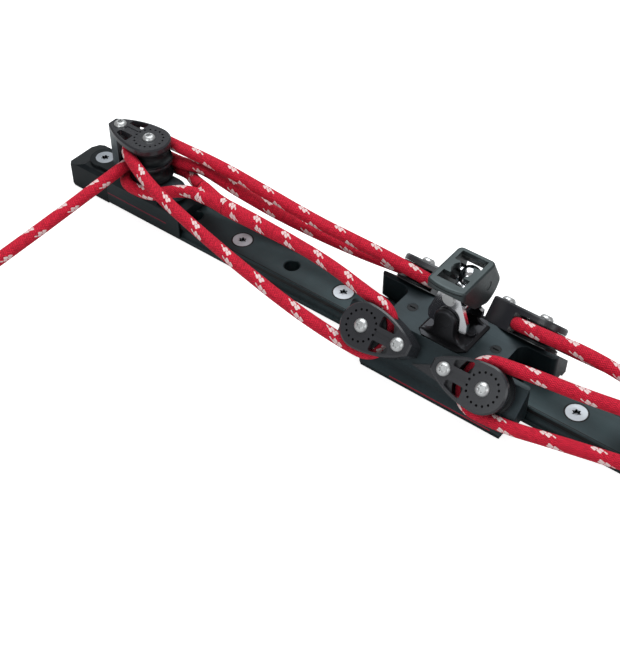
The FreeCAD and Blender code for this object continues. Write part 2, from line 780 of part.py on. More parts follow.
def build_end_frame(seat):
    """The casting under the end block: hub, foot let into the base, column at the tip and a tongue behind."""
    body = new_body("end_control_frame")
    floor = "(boss_level - foot_sink - hub_top)"
    hub = circle_sketch(body, "frame_hub_section", "XY_Plane", [("0", "0", "hub_radius")], "boss_level - hub_top")
    pad(body, "frame_hub", hub, "hub_top - boss_level")
    foot = loop_sketch(body, "frame_foot_section", "XY_Plane", [
        ("0", "-foot_half_width"), (FOOT_END, "-foot_half_width"), (FOOT_END, "foot_half_width"),
        ("0", "foot_half_width"),
    ], floor)
    pad(body, "frame_foot", foot, "foot_sink")
    bend = "(tongue_half_width - tongue_reach)"
    tongue = loop_sketch(body, "frame_tongue_section", "XY_Plane", [
        ("0", "-tongue_half_width"), ("0", "tongue_half_width"), (bend, "tongue_half_width", "tongue_half_width", 1),
        ("-tongue_reach", "0", "tongue_half_width", 1), (bend, "-tongue_half_width"),
    ], floor)
    pad(body, "frame_tongue", tongue, f"-tongue_drop - {floor}")
    run = "(tongue_reach - tongue_brow)"
    slope = loop_sketch(body, "frame_tongue_side", "XZ_Plane", [
        ("-tongue_brow", "1"),
        ("-tongue_brow", "-tongue_drop", f"({run} ^ 2 + tongue_nose ^ 2) / (2 * tongue_nose)", 1),
        ("-tongue_reach", "-tongue_drop - tongue_nose"), ("-tongue_reach - 1", "-tongue_drop - tongue_nose"),
        ("-tongue_reach - 1", "1"),
    ])
    pocket(body, "frame_tongue_slope", slope)
    column = loop_sketch(body, "frame_column_section", "XY_Plane", column_loop(END_COLUMN_HOLLOW),
                         "boss_level - hub_top")
    pad(body, "frame_column", column, f"{DOUBLE_STACK} + hub_top - boss_level")
    bores = circle_sketch(body, "frame_bores", "XY_Plane", [
        ("0", "0", "bolt_shank / 2 + bolt_play"), ("bolt_spacing", "0", "bolt_shank / 2 + bolt_play"),
    ])
    pocket(body, "frame_bore_cut", bores)
    place(body, seat, TIP_BACK)
    keep(body, "end_control_frame")


def build_middle_plate(seat):
    """The thin plate between the end block's two sheaves."""
    body = new_body("end_control_middle_plate")
    sketch = circle_sketch(body, "middle_plate_section", "XY_Plane", [
        ("0", "0", "cheek_radius"), ("0", "0", "sleeve_radius + sleeve_play"),
    ], MIDDLE_PLATE)
    pad(body, "middle_plate_disc", sketch, "middle_plate")
    place(body, seat, TIP_BACK)
    keep(body, "end_control_middle_plate")


def build_end_control():
    """Everything of the end control, from the deck up."""
    build_nose()
    build_end_base()
    screw = countersunk_screw("end_control_end_screw", "end_screw_head", "screw_head_depth", "screw_shank",
                              "boss_level - screw_lift")
    place(screw, (END_SCREW, "0", "boss_level"))
    keep(screw, "end_control_end_screw")
    seat = (END_AXIS, "0", "hub_top")
    build_end_frame(seat)
    build_sheave("end_control_lower_sheave", seat, TIP_BACK, LOWER_SHEAVE)
    build_middle_plate(seat)
    build_sheave("end_control_upper_sheave", seat, TIP_BACK, UPPER_SHEAVE)
    build_cheek("end_control_cheek", seat, TIP_BACK, DOUBLE_STACK)
    build_sleeve("end_control_sleeve", seat, TIP_BACK, DOUBLE_STACK)
    build_bolts("end_control_bolts", seat, TIP_BACK, f"({DOUBLE_STACK} + cheek_thick)", (
        f"{DOUBLE_STACK} + cheek_thick + hub_top - track_height - 1",
        f"{DOUBLE_STACK} + cheek_thick + end_bolt_depth",
    ))


def build_car_body():
    """The car: a bar that wraps the track, notched at both ends, with sloping faces for the blocks."""
    body = new_body("car_body")
    inner = "(track_width / 2 + car_play)"
    roof = "(track_height + car_play)"
    face_out = "(car_shoulder + face_width * cos(block_tilt))"
    face_low = "(car_height - face_width * sin(block_tilt))"
    race = "(ball_radius + car_play)"
    mouth = f"sqrt({race} ^ 2 - (race_offset - car_play) ^ 2)"
    skirt = "skirt_width / 2"

    def half(sign):
        """The section's corners on one side, from the floor of the wall up to the shoulder."""
        mark = "" if sign > 0 else "-"
        return [
            (f"{mark}{inner}", "car_floor"), (f"{mark}({skirt})", "car_floor"), (f"{mark}({skirt})", "skirt_lip"),
            (f"{mark}{face_out}", "skirt_waist"), (f"{mark}{face_out}", face_low),
            (f"{mark}car_shoulder", "car_height"),
        ]

    right = half(1)
    right[2] = (right[2][0], right[2][1], "skirt_scoop", -1)
    left = half(-1)[::-1]
    left[2] = (left[2][0], left[2][1], "skirt_scoop", -1)
    section = loop_sketch(body, "car_section", "YZ_Plane",
                          right + left + [(f"-{inner}", roof), (inner, roof)], "car_centre - car_length / 2")
    pad(body, "car_bar", section, "car_length")
    races = circle_sketch(body, "car_race_section", "YZ_Plane", [
        (f"{sign}(track_width / 2 + race_offset)", "race_level", race) for sign in ("", "-")
    ])
    pocket(body, "car_races", races)
    returns = circle_sketch(body, "car_return_section", "YZ_Plane", [
        (f"{sign}return_offset", "race_level", "return_radius") for sign in ("", "-")
    ])
    pocket(body, "car_returns", returns)
    for word, sign, turn in (("left", "-", 1), ("right", "+", -1)):
        end = f"(car_centre {sign} (car_length / 2 + 1))"
        heel_start = f"(car_centre {sign} (car_length / 2 - {word}_heel))"
        run, rise = f"({word}_heel + 1)", f"{word}_heel_rise"
        heel = loop_sketch(body, f"car_{word}_heel", "XZ_Plane", [
            (heel_start, "0"), (heel_start, "car_floor", f"({run} ^ 2 + {rise} ^ 2) / (2 * {rise})", turn),
            (end, f"car_floor + {rise}"), (end, "0"),
        ])
        pocket(body, f"car_{word}_heel_cut", heel)
        root = f"(car_centre {sign} (car_length / 2 - notch_depth))"
        notch = loop_sketch(body, f"car_{word}_notch", "XY_Plane", [
            (root, "-track_width / 2"), (end, "-track_width / 2"), (end, "track_width / 2"),
            (root, "track_width / 2"),
        ], "car_height + 1")
        cut = pocket(body, f"car_{word}_notch_cut", notch, "car_height + 1 - notch_floor + 1")
        low, there = value("notch_floor"), value(root)
        corners = dress(body, f"car_{word}_notch_corners", "Fillet", cut,
                        lambda edge, middle: upright(edge) and abs(middle.x - there) < 0.01 and middle.z > low,
                        "notch_corner")
        mouth, inner_side = value(f"car_centre {sign} car_length / 2"), value("track_width / 2")
        dress(body, f"car_{word}_notch_mouth", "Fillet", corners,
              lambda edge, middle: upright(edge) and abs(middle.x - mouth) < 0.01 and middle.z > low
              and abs(abs(middle.y) - inner_side) < 0.01, "notch_mouth")
    for side in (-1, 1):
        for end in (-1, 1):
            add_block_bores(body, side, end)
    screws = circle_sketch(body, "car_screw_recess", "XY_Plane", [
        (f"car_centre {sign} {SCREW_SPREAD} / 2", "0", "car_screw_head / 2 + screw_play") for sign in "-+"
    ], "car_height")
    pocket(body, "car_screw_recess_cut", screws, "1.2")
    shanks = circle_sketch(body, "car_screw_hole", "XY_Plane", [
        (f"car_centre {sign} {SCREW_SPREAD} / 2", "0", "car_screw_shank / 2 + screw_play") for sign in "-+"
    ], "car_height")
    pocket(body, "car_screw_holes", shanks, "car_screw_depth + screw_play")
    toggle = circle_sketch(body, "toggle_stud_holes_section", "XY_Plane", [
        (f"{TOGGLE_X} {sign} toggle_foot_length / 3", "0", "car_screw_shank / 2 + screw_play") for sign in "-+"
    ], "car_height")
    pocket(body, "toggle_stud_holes", toggle, "car_screw_depth + screw_play")
    keep(body, "car_body")


def block_seat_of(side, end):
    """Seat and rotation of one of the car's blocks; side is -1 at the front, end is -1 at the left."""
    seat = (f"(car_centre + {end} * {BLOCK_SPREAD} / 2)", f"({side} * block_out)", BLOCK_FACE_LEVEL)
    tilt = Rotation(X_AXIS, -side * value("block_tilt"))
    return seat, tilt if end < 0 else tilt.multiply(TIP_BACK)


def add_block_bores(body, side, end):
    """Bore the car's sloping face for the bolts of one block."""
    seat, rotation = block_seat_of(side, end)
    for word, along in (("axle", "0"), ("tip", "bolt_spacing")):
        name = f"car_bore_{'front' if side < 0 else 'back'}_{'left' if end < 0 else 'right'}_{word}"
        bore = body.newObject("PartDesign::SubtractiveCylinder", name)
        bind(bore, "Radius", "bolt_shank / 2 + bolt_play")
        bind(bore, "Height", "car_bolt_depth + bolt_play + 1")
        place(bore, block_point(seat, rotation, along, "(-car_bolt_depth - bolt_play)"), rotation)


def build_car():
    """The car, its top screws, its bearing balls and its four sheave blocks."""
    build_car_body()
    screws = []
    for number, sign in enumerate("-+"):
        screw = new_body(f"car_screw_{number + 1}")
        section = loop_sketch(screw, f"car_screw_{number + 1}_section", "XZ_Plane", [
            ("0", "-car_screw_depth"), ("car_screw_shank / 2", "-car_screw_depth"), ("car_screw_shank / 2", "-1.2"),
            ("car_screw_head / 2", "-1.2"), ("car_screw_head / 2", "0"), ("0", "0"),
        ])
        turned(screw, f"car_screw_{number + 1}_turned", section, "Z_Axis")
        slot = loop_sketch(screw, f"car_screw_{number + 1}_slot", "XY_Plane", [
            ("-car_screw_head * 0.3", "-0.6"), ("car_screw_head * 0.3", "-0.6"),
            ("car_screw_head * 0.3", "0.6"), ("-car_screw_head * 0.3", "0.6"),
        ])
        pocket(screw, f"car_screw_{number + 1}_slot_cut", slot, "0.8")
        place(screw, (f"car_centre {sign} {SCREW_SPREAD} / 2", "0", "car_height"))
        screws.append(screw)
    keep(gather("car_screw_pair", screws), "car_screws")
    for word, side in (("front", "-"), ("back", "")):
        balls = []
        count = int(value("ball_count"))
        for number in range(count):
            ball = DOC.addObject("Part::Sphere", f"ball_{word}_{number + 1}")
            bind(ball, "Radius", "ball_radius")
            shift = f"ball_pitch * ({number} - (ball_count - 1) / 2)"
            place(ball, (f"car_centre + {shift}", f"{side}(track_width / 2 + race_offset)", "race_level"))
            balls.append(ball)
        keep(gather(f"ball_row_{word}", balls), f"car_{word}_balls")
    for side, side_word in ((-1, "front"), (1, "back")):
        for end, end_word in ((-1, "left"), (1, "right")):
            seat, rotation = block_seat_of(side, end)
            name = f"{side_word}_{end_word}"
            build_sheave(f"{name}_sheave", seat, rotation, "(block_seat + sheave_gap)")
            build_cheek(f"{name}_cheek", seat, rotation, SINGLE_STACK)
            build_sleeve(f"{name}_sleeve", seat, rotation, SINGLE_STACK)
            build_housing(f"{name}_housing", seat, rotation, -side if end > 0 else 0)
            build_bolts(f"{name}_bolts", seat, rotation, f"({SINGLE_STACK} + cheek_thick)",
                        (f"{SINGLE_STACK} + cheek_thick + car_bolt_depth",) * 2)


def build_toggle_base():
    """The black base bolted to the car's top, with a flared foot and two round-topped ears."""
    body = new_body("toggle_base")
    half = "toggle_foot_length / 2"
    foot_top = "(car_height + toggle_foot)"
    shape = loop_sketch(body, "toggle_side", "XZ_Plane", [
        (f"-({half})", "car_height"), (half, "car_height"), (half, f"{foot_top} - 1.4"),
        ("ear_radius + toggle_flare", foot_top, "toggle_flare", -1), ("ear_radius", f"{foot_top} + toggle_flare"),
        ("ear_radius", "toggle_axis", "ear_radius", 1), ("0", "toggle_axis + ear_radius", "ear_radius", 1),
        ("-ear_radius", "toggle_axis"), ("-ear_radius", f"{foot_top} + toggle_flare", "toggle_flare", -1),
        ("-ear_radius - toggle_flare", foot_top), (f"-({half})", f"{foot_top} - 1.4"),
    ])
    pad(body, "toggle_ears", shape, "2 * ear_out", centred=True)
    gap = loop_sketch(body, "toggle_gap_section", "YZ_Plane", [
        ("-ear_out + ear_thick", foot_top), ("ear_out - ear_thick", foot_top),
        ("ear_out - ear_thick", "toggle_axis + ear_radius + 1"),
        ("-ear_out + ear_thick", "toggle_axis + ear_radius + 1"),
    ])
    gap_cut = pocket(body, "toggle_gap", gap)
    outer, flare_top = value("ear_out"), value(f"{foot_top} + toggle_flare")
    dress(body, "toggle_ear_round", "Fillet", gap_cut,
          lambda edge, middle: abs(abs(middle.y) - outer) < 0.01 and middle.z > flare_top + 0.1, "ear_round")
    plate = loop_sketch(body, "toggle_foot_section", "XY_Plane", [
        (f"-({half})", "-toggle_foot_width / 2 + 5"), (f"-({half}) + 5", "-toggle_foot_width / 2"),
        (f"{half} - 5", "-toggle_foot_width / 2"), (half, "-toggle_foot_width / 2 + 5"),
        (half, "toggle_foot_width / 2 - 5"), (f"{half} - 5", "toggle_foot_width / 2"),
        (f"-({half}) + 5", "toggle_foot_width / 2"), (f"-({half})", "toggle_foot_width / 2 - 5"),
    ], "car_height")
    pad(body, "toggle_foot_plate", plate, "toggle_foot - 1.4")
    eye = circle_sketch(body, "toggle_eye_section", "XZ_Plane", [("0", "toggle_axis", "toggle_pin / 2 + bolt_play")])
    pocket(body, "toggle_eyes", eye)
    counterbore = circle_sketch(body, "toggle_counterbore_section", "XZ_Plane", [
        ("0", "toggle_axis", "pin_head / 2 + bolt_play"),
    ], "ear_out")
    pocket(body, "toggle_counterbore", counterbore, "pin_head_height")
    holes = circle_sketch(body, "toggle_stud_section", "XY_Plane", [
        (f"{sign}toggle_foot_length / 3", "0", "car_screw_shank / 2 + screw_play") for sign in ("-", "")
    ], "toggle_axis")
    pocket(body, "toggle_stud_cut", holes)
    place(body, (TOGGLE_X, "0", "0"))
    keep(body, "toggle_base")
    screws = []
    for number, sign in enumerate("-+"):
        screw = new_body(f"toggle_screw_{number + 1}")
        section = loop_sketch(screw, f"toggle_screw_{number + 1}_section", "XZ_Plane", [
            ("0", "-car_screw_depth - toggle_foot"), ("car_screw_shank / 2", "-car_screw_depth - toggle_foot"),
            ("car_screw_shank / 2", "0"), ("car_screw_head / 2", "0"), ("car_screw_head / 2", "2"), ("0", "2"),
        ])
        turned(screw, f"toggle_screw_{number + 1}_turned", section, "Z_Axis")
        place(screw, (f"{TOGGLE_X} {sign} toggle_foot_length / 3", "0", foot_top))
        screws.append(screw)
    keep(gather("toggle_screw_pair", screws), "toggle_screws")


def build_toggle_pin():
    """The pin that the link swings on, its head sunk in the front ear, held by a clip at the back."""
    body = new_body("toggle_pin")
    head = circle_sketch(body, "toggle_pin_head_section", "XZ_Plane", [("0", "0", "pin_head / 2")],
                         "ear_out - pin_head_height")
    pad(body, "toggle_pin_head", head, "pin_head_height")
    tail = "(ear_out + pin_play + clip_thick + pin_play)"
    stem = circle_sketch(body, "toggle_pin_shank_section", "XZ_Plane", [("0", "0", "toggle_pin / 2")], "-ear_out")
    pad(body, "toggle_pin_shank", stem, "2 * ear_out")
    neck = circle_sketch(body, "toggle_pin_neck_section", "XZ_Plane",
                         [("0", "0", "toggle_pin / 2 - pin_groove")], f"-{tail}")
    pad(body, "toggle_pin_neck", neck, f"{tail} - ear_out")
    end = circle_sketch(body, "toggle_pin_end_section", "XZ_Plane", [("0", "0", "toggle_pin / 2")],
                        f"-{tail} - 1.2")
    pad(body, "toggle_pin_end", end, "1.2")
    place(body, (TOGGLE_X, "0", "toggle_axis"))
    keep(body, "toggle_pin")
    clip = new_body("toggle_pin_clip")
    ring = circle_sketch(clip, "clip_section", "XZ_Plane", [
        ("0", "0", "toggle_pin / 2 - pin_groove + pin_play"),
        ("0", "0", "toggle_pin / 2 - pin_groove + clip_width"),
    ], "-ear_out - pin_play - clip_thick")
    pad(clip, "clip_ring", ring, "clip_thick")
    place(clip, (TOGGLE_X, "0", "toggle_axis"))
    keep(clip, "toggle_pin_clip")


def build_link():
    """The chrome link: a hub on the toggle pin, two spread plates, and a neck up to the saddle's boss."""
    body = new_body("toggle_link")
    inner = "(ear_out - ear_thick - link_gap)"
    bore = "toggle_pin / 2 + pin_play"
    hub = circle_sketch(body, "link_hub_section", "XZ_Plane", [("0", "toggle_axis", "link_hub")])
    pad(body, "link_hub_tube", hub, f"2 * {inner}", centred=True)
    toe = "(link_base + link_toe)"
    low = f"({toe} - link_toe_round / 2)"
    back_top = "(toggle_axis + ear_radius + 4)"
    shapes = (
        ("front", f"{inner} - link_plate", [("link_spread", toe), ("link_brow", "link_top")]),
        ("back", f"-{inner}", [("link_spread", low), ("link_back_waist", f"{low} + 2"), ("link_brow", back_top)]),
    )
    for word, lift, side in shapes:
        foot = "(link_spread - link_toe_round)"
        knee = "(link_base + link_toe_round)"
        shape = loop_sketch(body, f"link_{word}_plate_section", "XZ_Plane", [
            (f"-{foot}", "link_base"), (foot, "link_base", "link_toe_round", 1), ("link_spread", knee), *side,
            *[(f"-{across}", up) for across, up in side[::-1]],
            ("-link_spread", knee, "link_toe_round", 1),
        ], lift)
        pad(body, f"link_{word}_plate", shape, "link_plate")
    over_ear = "(toggle_axis + ear_radius + 1)"
    neck = loop_sketch(body, "link_neck_section", "YZ_Plane", [
        (f"-{inner} + 1", "toggle_axis + 2"), (f"{inner} - 0.5", "toggle_axis + 2"), (f"{inner} - 0.5", over_ear),
        ("saddle_axis_out + saddle_boss * 0.7", f"{over_ear} + 3"), ("saddle_axis_out", "saddle_axis + 1"),
        (f"-{inner} + 1", "saddle_axis - 6"),
    ])
    pad(body, "link_neck_web", neck, "link_neck", centred=True)
    boss = circle_sketch(body, "link_boss_section", "YZ_Plane", [("saddle_axis_out", "saddle_axis", "saddle_boss")])
    pad(body, "link_boss", boss, "saddle_width - 2 * saddle_cheek - 2 * link_gap", centred=True)
    ball = body.newObject("PartDesign::AdditiveSphere", "link_ball_form")
    bind(ball, "Radius", "link_ball")
    place(ball, ("0", "saddle_axis_out", "saddle_axis"))
    eye = circle_sketch(body, "link_pin_bore_section", "XZ_Plane", [("0", "toggle_axis", bore)])
    pocket(body, "link_pin_bore", eye)
    cross = circle_sketch(body, "link_cross_bore_section", "YZ_Plane", [
        ("saddle_axis_out", "saddle_axis", "saddle_pin / 2 + pin_play"),
    ])
    pocket(body, "link_cross_bore", cross)
    place(body, (TOGGLE_X, "0", "0"))
    keep(body, "toggle_link")
    rivet = new_body("toggle_link_rivet")
    face = circle_sketch(rivet, "rivet_section", "XZ_Plane", [("0", "0", "rivet_radius")], inner)
    pad(rivet, "rivet_head", face, "rivet_height")
    nick = loop_sketch(rivet, "rivet_nick_section", "XZ_Plane", [
        ("rivet_radius * 0.72", "-rivet_radius * 0.16"), ("rivet_radius + 1", "-rivet_radius * 0.16"),
        ("rivet_radius + 1", "rivet_radius * 0.16"), ("rivet_radius * 0.72", "rivet_radius * 0.16"),
    ], f"{inner} + rivet_height")
    pocket(rivet, "rivet_nick", nick, "rivet_height * 0.6")
    place(rivet, (TOGGLE_X, "0", "link_top - rivet_drop"))
    keep(rivet, "toggle_link_rivet")


def front_cut(body, name, inset, lift, depth=None):
    """Cut the saddle's front to its bowed line, or cut a shallow groove along that line."""
    half = "(saddle_width / 2)"
    corner = f"(saddle_bow - saddle_front + {inset})"
    outer = "(-saddle_front - 1)"
    sketch = loop_sketch(body, f"{name}_section", "XY_Plane", [
        (f"-{half} - 1", outer), (f"{half} + 1", outer), (f"{half} + 1", corner),
        (half, corner, f"({half} ^ 2 + saddle_bow ^ 2) / (2 * saddle_bow)", -1), (f"-{half}", corner),
        (f"-{half} - 1", corner),
    ], lift)
    return pocket(body, name, sketch, depth)


def build_saddle():
    """The saddle: a windowed plate over two round cheeks that tilt on the cross pin."""
    body = new_body("toggle_saddle")
    reach = "(saddle_axis_out + saddle_cheek_radius)"
    shape = loop_sketch(body, "saddle_side", "YZ_Plane", [
        ("-saddle_front", "saddle_top"), ("-saddle_front", "saddle_top - saddle_lip"),
        ("-2", "saddle_axis - saddle_cheek_radius * 0.62"),
        ("saddle_axis_out", "saddle_axis - saddle_cheek_radius", "saddle_cheek_radius", 1),
        (reach, "saddle_axis"),
        ("saddle_back", "saddle_top"),
    ])
    pad(body, "saddle_block", shape, "saddle_width", centred=True)
    bow = front_cut(body, "saddle_front_bow", "0", "0")
    side = value("saddle_width / 2")
    back, front = value("saddle_back"), -value("saddle_front - saddle_bow")
    corners = dress(body, "saddle_back_corners", "Fillet", bow,
                    lambda edge, middle: abs(abs(middle.x) - side) < 0.01 and middle.y > back + 1
                    and middle.z > value("saddle_axis") + 1, "saddle_back_round")
    lip = dress(body, "saddle_front_corners", "Fillet", corners,
                lambda edge, middle: upright(edge) and abs(abs(middle.x) - side) < 0.01 and middle.y < front + 0.1,
                "saddle_front_round")
    top = value("saddle_top")
    dress(body, "saddle_top_roll", "Fillet", lip, lambda edge, middle: abs(middle.z - top) < 0.01, "saddle_roll")
    front_cut(body, "saddle_front_groove", "0.6", "saddle_top - saddle_groove_drop", "saddle_groove")
    lip_back = "(saddle_front - saddle_bow - saddle_wall)"
    ceiling = "(saddle_top - saddle_plate)"
    under = "(saddle_axis - saddle_cheek_radius - 1)"
    hollow = loop_sketch(body, "saddle_hollow_section", "YZ_Plane", [
        (f"-{lip_back}", under), (f"{reach} + 1", under), (f"{reach} + 1", "saddle_axis"),
        (f"{reach} - saddle_wall", "saddle_axis"), ("saddle_back - saddle_wall", ceiling),
        (f"-{lip_back}", ceiling),
    ])
    pocket(body, "saddle_hollow", hollow, "saddle_width - 2 * saddle_cheek", centred=True)
    round_low = "(window_round_centre - sqrt(window_round ^ 2 - window_waist ^ 2))"
    round_high = "(window_round_centre + sqrt(window_round ^ 2 - window_waist ^ 2))"
    half_window = [
        ("window_half", "-window_front"), ("window_half", "window_front_slot - window_front"),
        ("window_waist", "window_front_slot - window_front"), ("window_waist", round_low, "window_round", 1),
        ("window_waist", round_high), ("window_waist", "window_back - window_back_slot"),
        ("window_half", "window_back - window_back_slot"), ("window_half", "window_back"),
    ]
    mirrored = [(f"-{corner[0]}", *corner[1:2]) for corner in half_window[::-1]]
    mirrored[3] = (*mirrored[3], "window_round", 1)
    window = loop_sketch(body, "saddle_window_section", "XY_Plane", half_window + mirrored, "saddle_top")
    pocket(body, "saddle_window", window, "saddle_plate + 2")
    bore = circle_sketch(body, "saddle_bore_section", "YZ_Plane", [
        ("saddle_axis_out", "saddle_axis", "saddle_pin / 2 + pin_play"),
    ])
    pocket(body, "saddle_bore", bore)
    place(body, (TOGGLE_X, "0", "0"))
    keep(body, "toggle_saddle")
    pin = new_body("saddle_pin")
    shank = circle_sketch(pin, "saddle_pin_section", "YZ_Plane", [("0", "0", "saddle_pin / 2")])
    pad(pin, "saddle_pin_shank", shank, "saddle_width - 2 * saddle_cheek - 0.6", centred=True)
    place(pin, (TOGGLE_X, "saddle_axis_out", "saddle_axis"))
    keep(pin, "saddle_pin")


def line_path(points, radii):
    """Straight runs joined by tangent arcs, with the radius at each inner point, as one wire."""
    points = [Vector(*point) for point in points]
    edges = []
    start = points[0]
    for before, corner, after, radius in zip(points, points[1:], points[2:], radii):
        back = (before - corner).normalize()
        ahead = (after - corner).normalize()
        half_turn = (math.pi - back.getAngle(ahead)) / 2
        tangent = radius * math.tan(half_turn)
        middle = corner + (back + ahead).normalize() * (radius / math.cos(half_turn) - radius)
        first, last = corner + back * tangent, corner + ahead * tangent
        if (first - start).Length > 1e-4:
            edges.append(Part.LineSegment(start, first).toShape())
        edges.append(Part.Arc(first, middle, last).toShape())
        start = last
    edges.append(Part.LineSegment(start, points[-1]).toShape())
    return Part.Wire(edges)


def bend_radii(points, pulleys):
    """Each inner point's radius: 0.45 of the shorter run over the tangent of half the turn, or the pulley's."""
    points = [Vector(*point) for point in points]
    radii = []
    for number, (before, corner, after) in enumerate(zip(points, points[1:], points[2:]), start=1):
        back, ahead = before - corner, after - corner
        half_turn = (math.pi - back.getAngle(ahead)) / 2
        own = 0.45 * min(back.Length, ahead.Length) / math.tan(half_turn)
        radii.append(pulleys.get(number, own))
    return radii


def build_line(node, points, pulleys):
    """A plain tube of the line's width along its route."""
    radii = bend_radii(points, pulleys)
    wire = line_path(points, radii)
    radius = value("rope_width / 2")
    start = Vector(*points[0])
    heading = (Vector(*points[1]) - start).normalize()
    profile = Part.Wire([Part.Circle(start, heading, radius).toShape()])
    solid = wire.makePipeShell([profile], True, True)
    expected = math.pi * radius ** 2 * wire.Length
    print(node, "radii", [round(item, 1) for item in radii], "length", round(wire.Length, 1),
          "volume ratio", round(solid.Volume / expected, 4))
    tube = DOC.addObject("Part::Feature", node)
    tube.Shape = solid
    return keep(tube, node)


def build_knot(node, centre, heading):
    """The plain outer shape of a stopper knot, its flat face on the end of the line."""
    width, length = value("knot_width"), value("knot_length")
    throat = value("rope_width / 2")
    section = Part.Wire(Part.makePolygon([
        Vector(0, 0, 0), Vector(throat, 0, 0), Vector(width / 2, 0, length * 0.25),
        Vector(width / 2, 0, length * 0.75), Vector(throat, 0, length), Vector(0, 0, length), Vector(0, 0, 0),
    ]).Edges)
    solid = Part.Face(section).revolve(Vector(0, 0, 0), Z_AXIS, 360)
    knot = DOC.addObject("Part::Feature", node)
    knot.Shape = solid
    knot.Placement = Placement(Vector(*centre), Rotation(Z_AXIS, Vector(*heading)))
    return keep(knot, node)


# Where the control lines run. The numbers are points chosen by eye along each line, from end to end.
EYE_ROUTE = [
    (-131.2, -3.4, 45), (-139, -5.4, 44.7), (-152, -12.8, 41.6), (-166, -21, 36.4), (-199.4, -19.8, 36.1),
    (-199.4, 19.8, 36.1), (-172, 21, 36.2), (-158, 21.3, 36.9), (-148, 15.2, 39), (-139, 9.6, 43.7),
    (-131.2, 7, 45),
]
LEFT_ROUTE = [
    (-99, -1.4, 44.5), (-35, -3, 44.5), (10, -10.5, 45.8), (44.3, -22.12, 47.37), (79.3, -22.12, 47.37),
    (79.3, -46.87, 22.62), (44.3, -46.87, 22.62), (3, -49.5, 32.5), (-52, -45.5, 42.5), (-106, -38.5, 51),
    (-146, -32, 57.8), (-176.7, -21.9, 62.9), (-200.0, -8.44, 62.9), (-193.0, 17.5, 62.9),
    (-166.2, 17.5, 62.9), (-125, 22.5, 59), (-80, 24, 53.5), (-30, 25, 47.5), (10, 25, 46.5),
    (44.3, 22.12, 47.37), (79.3, 22.12, 47.37), (79.3, 46.87, 22.62), (44.3, 46.87, 22.62), (0, 37, 26),
    (-60, 28, 33), (-105, 24, 40.5), (-126, 23, 45), (-145, 21.8, 48.8), (-162.1, 17.5, 47.3),
    (-197.1, 17.5, 47.3), (-197.1, -17.5, 47.3), (-197.4, -62, 44.6), (-198, -112, 41.6), (-198.8, -160, 39.4),
]
FRONT_RIGHT_ROUTE = [
    (266, -4.4, 51.2), (224, -11, 49.6), (200, -15.5, 52.6), (180.3, -22.12, 47.37), (145.3, -22.12, 47.37),
    (145.3, -46.87, 22.62), (180.3, -46.87, 22.62), (224, -39.5, 28.2), (280, -30.4, 33.2),
]
BACK_RIGHT_ROUTE = [
    (240, 17.6, 52.5), (211, 20.2, 52), (180.3, 22.12, 47.37), (145.3, 22.12, 47.37),
    (145.3, 46.87, 22.62), (180.3, 46.87, 22.62), (224, 43, 28.6), (272, 37.6, 33.6),
]
SPLICE_START = (-129.4, 1.8, 45)


def build_lines():
    """The control lines, the eye's splice and the stopper knots."""
    sheave = value("rope_line")
    hub = value("hub_radius + rope_width / 2 + 0.8")
    build_line("control_line_eye", EYE_ROUTE, {4: hub, 5: hub})
    build_line("control_line_left", LEFT_ROUTE, {4: sheave, 5: sheave, 12: sheave, 13: sheave, 20: sheave,
                                                 21: sheave, 29: sheave})
    build_line("control_line_front_right", FRONT_RIGHT_ROUTE, {4: sheave, 5: sheave})
    build_line("control_line_back_right", BACK_RIGHT_ROUTE, {3: sheave, 4: sheave})
    wires = []
    end = Vector(*LEFT_ROUTE[0]) - Vector(0.2, 0, 0)
    for centre, across, up in ((Vector(*SPLICE_START), value("splice_width / 2"), value("splice_depth / 2")),
                               (end, value("splice_end / 2"), value("splice_end / 2 - 0.1"))):
        ring = Part.Ellipse(centre + Y_AXIS * across, centre + Z_AXIS * up, centre)
        wires.append(Part.Wire([ring.toShape()]))
    splice = DOC.addObject("Part::Feature", "control_line_splice")
    splice.Shape = Part.makeLoft(wires, True, True)
    keep(splice, "control_line_splice")
    ends = {
        "control_line_tail_knot": (LEFT_ROUTE[-1], LEFT_ROUTE[-2]),
        "front_right_upper_knot": (FRONT_RIGHT_ROUTE[0], FRONT_RIGHT_ROUTE[1]),
        "front_right_lower_knot": (FRONT_RIGHT_ROUTE[-1], FRONT_RIGHT_ROUTE[-2]),
        "back_right_upper_knot": (BACK_RIGHT_ROUTE[0], BACK_RIGHT_ROUTE[1]),
        "back_right_lower_knot": (BACK_RIGHT_ROUTE[-1], BACK_RIGHT_ROUTE[-2]),
    }
    for node, (end, before) in ends.items():
        build_knot(node, end, Vector(*end) - Vector(*before))


def check_and_write():
    """Stop on any failed object or shape, then write each piece to its own file."""
    DOC.recompute()
    for item in DOC.Objects:
        if "Invalid" in item.State or "Error" in item.State:
            raise RuntimeError(f"{item.Name} failed: {item.State}")
    os.makedirs("parts", exist_ok=True)
    for node, item in NODES.items():
        shape = item.Shape
        if shape.isNull() or not shape.isValid() or not shape.Solids:
            raise RuntimeError(f"{node} has no valid solid")
        shape.exportStep(f"parts/{node}.step")
        print(node, len(shape.Solids), round(shape.Volume, 1))


build_track()
build_track_screws()
build_end_control()
build_car()
build_toggle_base()
build_toggle_pin()
build_link()
build_saddle()
build_lines()
check_and_write()
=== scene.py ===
"""The looks of a rigged sheet traveller: end control, track, car, mainsheet toggle and control lines."""

from __future__ import annotations

import logging
import math
from dataclasses import dataclass, field
from enum import Enum

import bmesh
import bpy
from mathutils import Matrix, Vector

